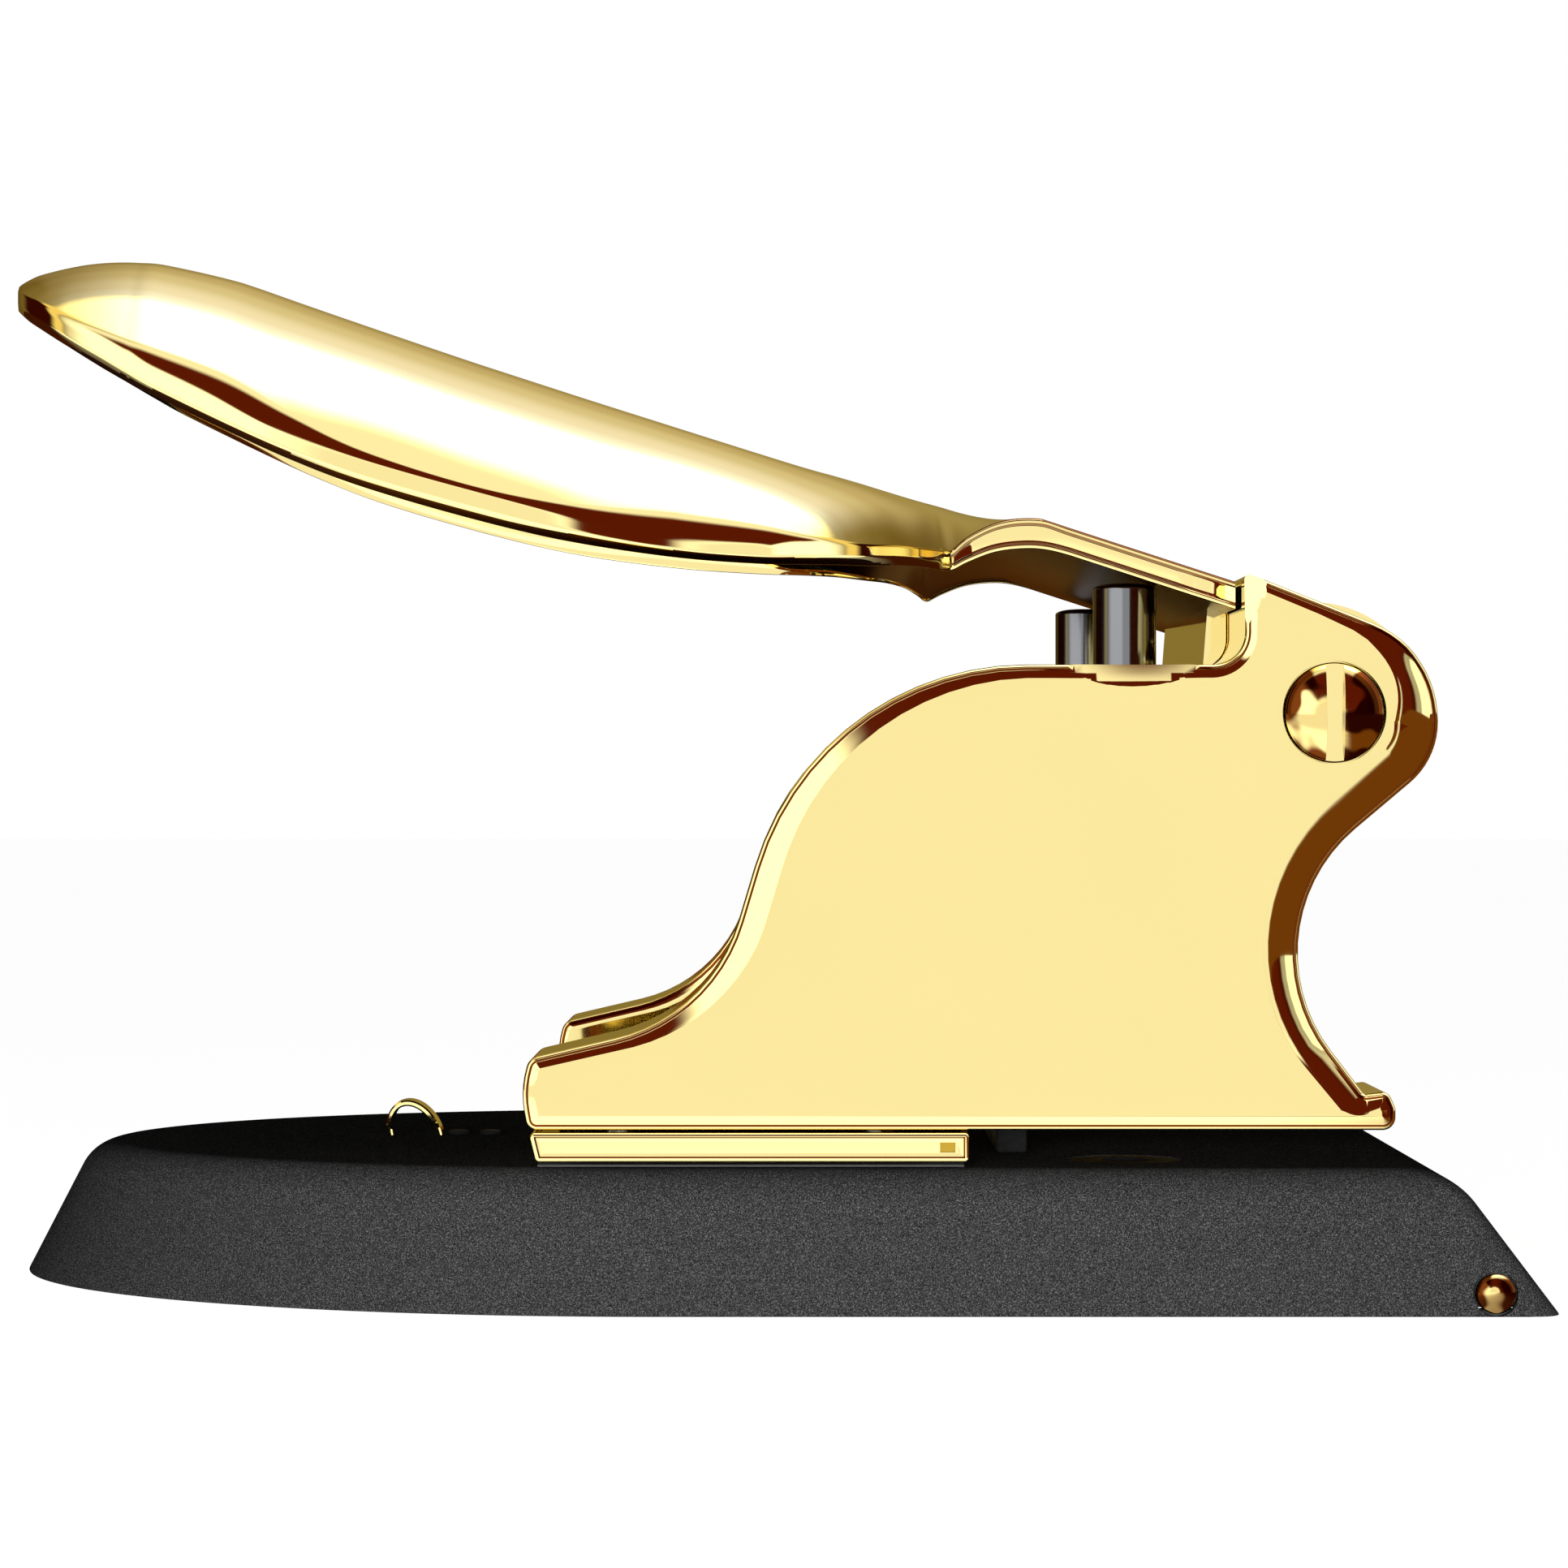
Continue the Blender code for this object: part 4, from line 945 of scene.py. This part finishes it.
LEVER_LOW, LEVER_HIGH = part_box("lever")
SLOPE = math.radians(18.0)
ABOVE_PIVOT = 0.01228
THICKNESS = 0.0033
TIP_X = LEVER_LOW[0]
WIDE = LEVER_HIGH[1]
END_X = SHOULDER_X - 0.0004
PANEL_DEPTH = 0.00070
PANEL_START_X = TIP_X + 0.1248
LIP = 0.00060
HUB_RADIUS, HUB_HALF, HUB_FRONT = 0.0146, 0.0325, 0.0175
HUB_BORE = 0.0068


def plate_z(x):
    """Height of the plate's straight top line."""
    at_pivot = PIVOT.z + ABOVE_PIVOT / math.cos(SLOPE)
    return at_pivot + (PIVOT.x - x) * math.tan(SLOPE)


def lever_stations():
    """(x from the tip, half width, drop of the bottom edge and of the ridge below the plate's
    straight top line, height of the edge band, radius between the band and the crown)"""
    spoon, neck = 0.0204, 0.0160
    plate = THICKNESS / math.cos(SLOPE)
    return [
        (0.0000, 0.0004, 0.0132, 0.0100, 0.0022, 0.0003),
        (0.0003, 0.0026, 0.0134, 0.0097, 0.0024, 0.0004),
        (0.0012, 0.0052, 0.0139, 0.0089, 0.0027, 0.0006),
        (0.0027, 0.0080, 0.0146, 0.0077, 0.0027, 0.0010),
        (0.0045, 0.0104, 0.0152, 0.0066, 0.0027, 0.0016),
        (0.0070, 0.0125, 0.0160, 0.0052, 0.0027, 0.0022),
        (0.0098, 0.0141, 0.0168, 0.0038, 0.0027, 0.0030),
        (0.0130, 0.0155, 0.0176, 0.0025, 0.0027, 0.0040),
        (0.0165, 0.0168, 0.0185, 0.0014, 0.0026, 0.0054),
        (0.0205, 0.0179, 0.0194, 0.0005, 0.0025, 0.0070),
        (0.0304, 0.0196, 0.0210, -0.0004, 0.0025, 0.0090),
        (0.0390, 0.0202, 0.0221, -0.0002, 0.0028, 0.0066),
        (0.0485, spoon, 0.0226, 0.0, 0.0032, 0.0034),
        (0.0626, spoon - 0.0002, 0.0221, 0.0002, 0.0034, 0.0020),
        (0.0753, neck + 0.0032, 0.0209, 0.0002, 0.0030, 0.0040),
        (0.0890, neck + 0.0008, 0.0184, 0.0001, 0.0022, 0.0070),
        (0.0998, neck, 0.0157, 0.0, 0.0020, 0.0058),
        (0.1065, neck + 0.0009, 0.0137, -0.0001, 0.0022, 0.0030),
        (0.1110, neck + 0.0028, 0.0124, -0.0003, 0.0023, 0.0014),
        (0.1150, neck + 0.0062, 0.0114, -0.0004, 0.0023, 0.0007),
        (0.1183, neck + 0.0110, 0.0105, -0.0004, 0.0022, 0.0005),
        (0.1210, neck + 0.0170, 0.0101, -0.0004, 0.0021, 0.0004),
        (0.1230, WIDE - 0.0060, 0.0102, -0.0004, 0.0021, 0.0004),
        (0.1239, WIDE - 0.0017, 0.0103, -0.0004, 0.0021, 0.0004),
        (0.1248, WIDE, 0.0100, -0.0004, 0.0022, 0.0004),
        (0.1266, WIDE, 0.0085, -0.0003, 0.0028, 0.0004),
        (0.1297, WIDE, 0.0063, -0.0002, 0.0032, 0.0004),
        (0.1328, WIDE, 0.0048, -0.0001, 0.0034, 0.0004),
        (0.1360, WIDE, 0.0038, 0.0, 0.0034, 0.0004),
        (0.1395, WIDE, plate, 0.0, plate - 0.0004, 0.0004),
        (0.1450, WIDE, plate, 0.0, plate - 0.0004, 0.0004),
        (END_X - TIP_X, WIDE, plate, 0.0, plate - 0.0004, 0.0004),
    ]


def catmull(rows, per_span):
    """Smooth rows between the given ones, which don't swing past them."""
    padded = [rows[0], *rows, rows[-1]]
    made = []
    for i in range(1, len(padded) - 2):
        a, b, c, d = padded[i - 1 : i + 3]
        steps = per_span if i < len(padded) - 3 else per_span + 1
        for k in range(steps):
            t = k / per_span
            row = []
            for p, q, r, s in zip(a, b, c, d):
                m0, m1 = (r - p) / 2, (s - q) / 2
                if (r - q) * m0 <= 0:
                    m0 = 0
                if (r - q) * m1 <= 0:
                    m1 = 0
                limit = 3 * abs(r - q)
                m0 = math.copysign(min(abs(m0), limit), m0)
                m1 = math.copysign(min(abs(m1), limit), m1)
                h = t * t * (3 - 2 * t)
                ends = m0 * t * (1 - t) ** 2 + m1 * t * t * (t - 1)
                row.append(q * (1 - h) + r * h + ends)
            made.append(tuple(row))
    return made


def groove_depth(x):
    """How deep the panel lies in the edge band. It ends in a small cell before the plate's end."""
    if x > END_X - 0.0011:
        return 0.0
    if END_X - 0.0031 < x < END_X - 0.0027:
        return 0.0002
    return PANEL_DEPTH


def crown_half(half_width, height, radius, arc_steps=10, crown_steps=26):
    """(y, z) from the ridge down to the edge: a parabola, then an arc which ends upright."""
    radius = min(radius, height * 0.95, half_width * 0.6)
    angle = math.radians(35)
    for _ in range(25):
        width = half_width - radius * (1 - math.cos(angle))
        rise = max(height - radius * math.sin(angle), 1e-6)
        angle = 0.5 * angle + 0.5 * math.atan2(width, 2 * rise)
    width = half_width - radius * (1 - math.cos(angle))
    foot = min(radius * math.sin(angle), height)
    points = []
    for k in range(crown_steps + 1):
        share = k / crown_steps
        points.append((width * share, foot + (height - foot) * (1 - share**2)))
    for k in range(1, arc_steps + 1):
        turn = angle * (1 - k / arc_steps)
        points.append((half_width - radius * (1 - math.cos(turn)), radius * math.sin(turn)))
    return points


def lever_section(x, half_width, edge_drop, ridge_drop, band, radius):
    """A closed section: the far edge, over the top to the near edge, and back underneath."""
    bottom = plate_z(x) - edge_drop
    top = plate_z(x) - ridge_drop
    shoulder = bottom + band
    crown = max(top - shoulder, 0.0001)
    framed = smooth_share(half_width, WIDE - 0.006, WIDE - 0.001)
    groove = groove_depth(x) * framed
    outer = [(y, shoulder + z) for y, z in crown_half(half_width, crown, radius)]
    floor = half_width - groove
    rim = [
        (half_width - 0.00003, shoulder - 0.00022),
        (half_width - groove * 0.3 - 0.00005, shoulder - 0.00030),
        (floor - 0.00005, shoulder - 0.00042),
        (floor, shoulder - 0.00070),
        (floor, bottom + LIP + 0.00045),
        (floor + groove * 0.15, bottom + LIP + 0.00022),
        (floor + groove * 0.7, bottom + LIP + 0.00004),
        (half_width - 0.00006, bottom + LIP - 0.00004),
        (half_width, bottom + LIP - 0.00016),
        (half_width, bottom + 0.00018),
        (half_width - 0.00006, bottom + 0.00005),
        (half_width - 0.00020, bottom),
    ]
    # the spoon has a plain edge band, which turns under in its lower half
    under = min(0.0011, half_width * 0.25)
    for k, (y, z) in enumerate(rim):
        share = (k + 1) / len(rim)
        low = max(share - 0.55, 0) / 0.45
        plain = (half_width - under * low**1.4, shoulder - band * share)
        outer.append((plain[0] + (y - plain[0]) * framed, plain[1] + (z - plain[1]) * framed))
    wall = min(THICKNESS * 0.8, half_width / 2)
    inner_width = half_width - wall
    hollow = max(top - bottom - THICKNESS / math.cos(SLOPE), 0.00002)
    inside = [((inner_width + outer[-1][0]) / 2, bottom)]
    inside += [(y, bottom + z) for y, z in reversed(crown_half(inner_width, hollow, radius))]
    near = [(x, -y, z) for y, z in reversed(outer)]
    far = [(x, y, z) for y, z in outer[1:]]
    under_far = [(x, y, z) for y, z in inside]
    under_near = [(x, -y, z) for y, z in reversed(inside[:-1])]
    return near + far + under_far + under_near


def smooth_share(value, start, end):
    """0 before the start, 1 after the end, and a soft step between."""
    share = min(max((value - start) / (end - start), 0), 1)
    return share * share * (3 - 2 * share)


def hub():
    """The lever's round end, which turns on the shaft."""
    along = Vector((math.cos(SLOPE), -math.sin(SLOPE)))
    up = left_normal(along)
    pivot = Vector((PIVOT.x, PIVOT.z))
    outline = [(-HUB_FRONT, ABOVE_PIVOT), (-HUB_FRONT, ABOVE_PIVOT - THICKNESS / 2)]
    for degrees in range(200, 471, 5):
        angle = math.radians(degrees)
        outline.append((HUB_RADIUS * math.cos(angle), HUB_RADIUS * math.sin(angle)))
    points = [pivot + along * u + up * v for u, v in outline]
    return loft("hub", [[(p.x, y, p.y) for p in points] for y in (-HUB_HALF, HUB_HALF)])


def build_lever():
    rows = catmull(lever_stations(), 8)
    sections = [lever_section(TIP_X + row[0], *row[1:]) for row in rows]
    lever = loft("lever_body", sections, angle=40)
    combine(lever, [hub()], "UNION")
    combine(lever, [across("bore", HUB_BORE, PIVOT, -WIDE - 0.01, WIDE + 0.01)])
    for material in (GOLD, CREASE_SHADE_GOLD, UNDERSIDE_SHADE_GOLD):
        lever.data.materials.append(material)
    for face in lever.data.polygons:
        # Faces that look down get painted underside shade and dark reflections.
        if face.normal.z < -0.6:
            face.material_index = 2
        # Faces of the sunk panel's walls that tilt up or down get painted crease shade; the rest stays
        # plain gold.
        in_panel_wall = 0.00003 < WIDE - abs(face.center.y) < PANEL_DEPTH - 0.00002
        if face.center.x > PANEL_START_X and in_panel_wall and abs(face.normal.y) < 0.85:
            face.material_index = int(abs(face.normal.z) > 0.2)
    even_shading(lever)
    show(lever, "lever", None)


# ---- paper stop and finger loop


def build_small():
    """The paper stop, all the screws under the base, the rivets and the finger loop."""
    low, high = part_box("paper_stop")
    stop = box("stop_bar", low, high, 0.0005, 4)
    show(stop, "paper_stop", PLASTIC)
    for name in SIDES:
        build_screw(f"stop_screw_{name}", 0.0024, 0.0016, 0.0012)
        for place in ("front", "rear"):
            build_screw(f"cheek_screw_{name}_{place}", 0.0042, 0.0035, 0.0023)
    for place in ("front", "rear"):
        node = f"loop_rivet_{place}"
        low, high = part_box(node)
        c = centre_of(node)
        corners = dome(0.0014, 0.00035, 0.00025)
        build_turned(node, corners, (c.x, c.y, low[2]), (0, 0, 1), DIE_STEEL)
    build_loop()


def build_loop():
    """An arch of flat ribbon, which leans a little towards the nose."""
    low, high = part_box("finger_loop")
    foot = low[2]
    x0, half, height, thick = -0.0455, 0.0033, 0.0043, 0.0008

    def arch(grow, angle, y):
        z = foot + (height + grow) * math.sin(angle)
        return (x0 - 0.0010 * math.sin(angle) + (half + grow) * math.cos(angle), y, z)

    rings = []
    width = (high[1] - low[1]) / 2
    edge = 0.00022
    profile = [
        (-width + edge, thick / 2),
        (width - edge, thick / 2),
        (width, thick / 2 - edge),
        (width, -thick / 2 + edge),
    ]
    profile += [(-y, -grow) for y, grow in profile]
    steps = 48
    for k in range(steps + 1):
        angle = math.pi * k / steps
        rings.append([arch(grow, angle, y) for y, grow in profile])
    loop = loft("loop_ribbon", rings, angle=40)
    show(loop, "finger_loop", GOLD)


# ---- studio


DARKEST = (0.105, 0.011, 0.002)


def build_world():
    """A studio drawn by direction, which only reflections see: a backdrop is white to look at.
    It is darkest in part of a ring round the front, and at the left behind."""
    world = bpy.data.worlds.new("studio")
    bpy.context.scene.world = world
    world.use_nodes = True
    nodes = Nodes(world.node_tree)
    world.node_tree.nodes.clear()
    direction = nodes.add("ShaderNodeTexCoord").outputs["Generated"]
    x, y, z = nodes.add("ShaderNodeSeparateXYZ", {"Vector": direction}).outputs
    from_front = nodes.math("ARCCOSINE", nodes.math("MULTIPLY", y, -0.99999))
    turn = nodes.math("DIVIDE", from_front, math.pi)

    def by_angle(stops):
        return nodes.ramp(turn, [(degrees / 180, value) for degrees, value in stops])

    in_front = [(0, 1.0), (9, 1.0), (15, 1.7), (52, 1.7), (63, 1.05), (68, 1.05), (73, 3.2), (91, 3.2)]
    behind = [
        (97, (1.05, 1.12, 1.60)),
        (103, (0.94, 0.92, 1.12)),
        (120, (0.72, 0.66, 0.56)),
        (136, (0.57, 0.48, 0.30)),
        (160, (0.38, 0.29, 0.10)),
        (180, (0.26, 0.18, 0.03)),
    ]
    pale = by_angle(in_front + behind)
    ring = by_angle([(11, 0.0), (16, 1.0), (50, 1.0), (62, 0.0)])
    radius = nodes.math("SQRT", nodes.math("SUBTRACT", 1.0, nodes.math("MULTIPLY", y, y)))
    along = nodes.math("MULTIPLY_ADD", x, 0.82, nodes.math("MULTIPLY", z, 0.57))
    clock = nodes.math("DIVIDE", along, nodes.math("MAXIMUM", radius, 0.001))
    side = nodes.ramp(nodes.math("MULTIPLY_ADD", clock, 0.5, 0.5), [(0.39, 0.0), (0.50, 1.0)])
    amount = nodes.math("MULTIPLY", ring, side)
    shaded = nodes.mix(amount, pale, DARKEST)
    left = nodes.ramp(nodes.math("MULTIPLY", x, -1.0), [(0.66, 0.0), (0.80, 1.0)])
    beyond = by_angle([(78, 0.0), (86, 1.0), (150, 1.0), (165, 0.0)])
    shaded = nodes.mix(nodes.math("MULTIPLY", left, beyond), shaded, DARKEST)
    muted = nodes.ramp(nodes.math("MULTIPLY_ADD", x, -1.0, 0.5), [(0.45, 0.0), (0.95, 1.0)])
    above = by_angle([(60, 0.0), (72, 1.0)])
    veil = nodes.math("MULTIPLY", muted, above)
    shaded = nodes.mix(veil, shaded, nodes.mix(1.0, shaded, (0.30, 0.24, 0.10), "MULTIPLY"))
    right = nodes.ramp(x, [(0.55, 1.0), (0.85, 0.42), (1.0, 0.42)])
    shaded = nodes.mix(1.0, shaded, right, "MULTIPLY")
    camera_ray = nodes.add("ShaderNodeLightPath").outputs["Is Camera Ray"]
    seen = nodes.mix(camera_ray, shaded, (1.0, 1.0, 1.0))
    background = nodes.add("ShaderNodeBackground", {"Color": seen, "Strength": 1.0})
    world.cycles_visibility.diffuse = False
    output = nodes.add("ShaderNodeOutputWorld")
    world.node_tree.links.new(background.outputs[0], output.inputs["Surface"])


def floor_material():
    """White to look at. In a reflection it glows in front, and is dark behind and at the rear end."""
    material, nodes, shader = new_material("pale_floor", (0.30, 0.30, 0.30), 0.0, 0.8)
    shader.inputs["Specular IOR Level"].default_value = 0.0
    place = nodes.add("ShaderNodeTexCoord").outputs["Object"]
    x, y = nodes.add("ShaderNodeSeparateXYZ", {"Vector": place}).outputs[:2]
    depth = nodes.math("ADD", y, 0.5)
    bright = [(0.0, 1.0), (0.10, 1.0), (0.24, 1.6), (0.40, 1.6)]
    glow = nodes.ramp(depth, [*bright, (0.50, 0.25), (0.62, (0.045, 0.009, 0.001))])
    skew = nodes.math("MULTIPLY_ADD", y, 0.25, x)
    beside = nodes.ramp(nodes.math("ADD", skew, 0.5), [(0.54, 0.0), (0.59, 1.0)])
    glow = nodes.mix(beside, glow, (0.16, 0.05, 0.005))
    tone = nodes.mix(nodes.noise(3.0, 2.0), (0.97, 0.97, 0.97), (0.98, 0.98, 0.98))
    camera_ray = nodes.add("ShaderNodeLightPath").outputs["Is Camera Ray"]
    nodes.feed(shader.inputs["Emission Color"], nodes.mix(camera_ray, glow, tone))
    shader.inputs["Emission Strength"].default_value = 1.0
    matt = nodes.mix(camera_ray, (0.0, 0.0, 0.0), (0.16, 0.16, 0.16))
    nodes.feed(shader.inputs["Base Color"], matt)
    return material


def area_light(name, place, target, size, power):
    data = bpy.data.lights.new(name, "AREA")
    data.shape = "RECTANGLE"
    data.size, data.size_y = size
    data.energy = power
    obj = bpy.data.objects.new(name, data)
    obj.location = place
    aim = Vector(target) - Vector(place)
    obj.rotation_mode = "QUATERNION"
    obj.rotation_quaternion = aim.to_track_quat("-Z", "Y")
    obj.visible_glossy = False
    bpy.context.scene.collection.objects.link(obj)


def build_studio():
    build_world()
    bm = bmesh.new()
    bmesh.ops.create_grid(bm, x_segments=1, y_segments=1, size=6.0)
    floor = make_object("floor", bm)
    floor.location = (0, 0, -0.00005)
    floor.data.materials.append(floor_material())
    area_light("key", (-0.10, -0.85, 0.06), (-0.04, 0, 0.01), (0.4, 0.12), 20.0)
    area_light("fill", (0.45, -0.8, 0.06), (0.05, 0, 0.01), (0.4, 0.12), 5.0)
    area_light("top", (0.0, 0.1, 0.9), (0, 0, 0), (0.7, 0.5), 0.4)


def build_camera():
    data = bpy.data.cameras.new("camera")
    data.sensor_width = 36.0
    data.lens = 104.8
    data.shift_y = 0.0072464
    data.clip_start, data.clip_end = 0.01, 30
    camera = bpy.data.objects.new("camera", data)
    camera.location = (0.00435, -0.6185, 0.06375)
    camera.rotation_euler = (math.pi / 2, 0, 0)
    scene = bpy.context.scene
    scene.collection.objects.link(camera)
    scene.camera = camera
    scene.view_settings.view_transform = "Standard"
    scene.view_settings.look = "None"


build_base()
build_lid()
for side_name, side_sign in SIDES.items():
    build_cheek(side_name, side_sign)
    build_sole(side_name, side_sign)
build_punching()
build_pivot()
build_lever()
build_small()
build_studio()
build_camera()
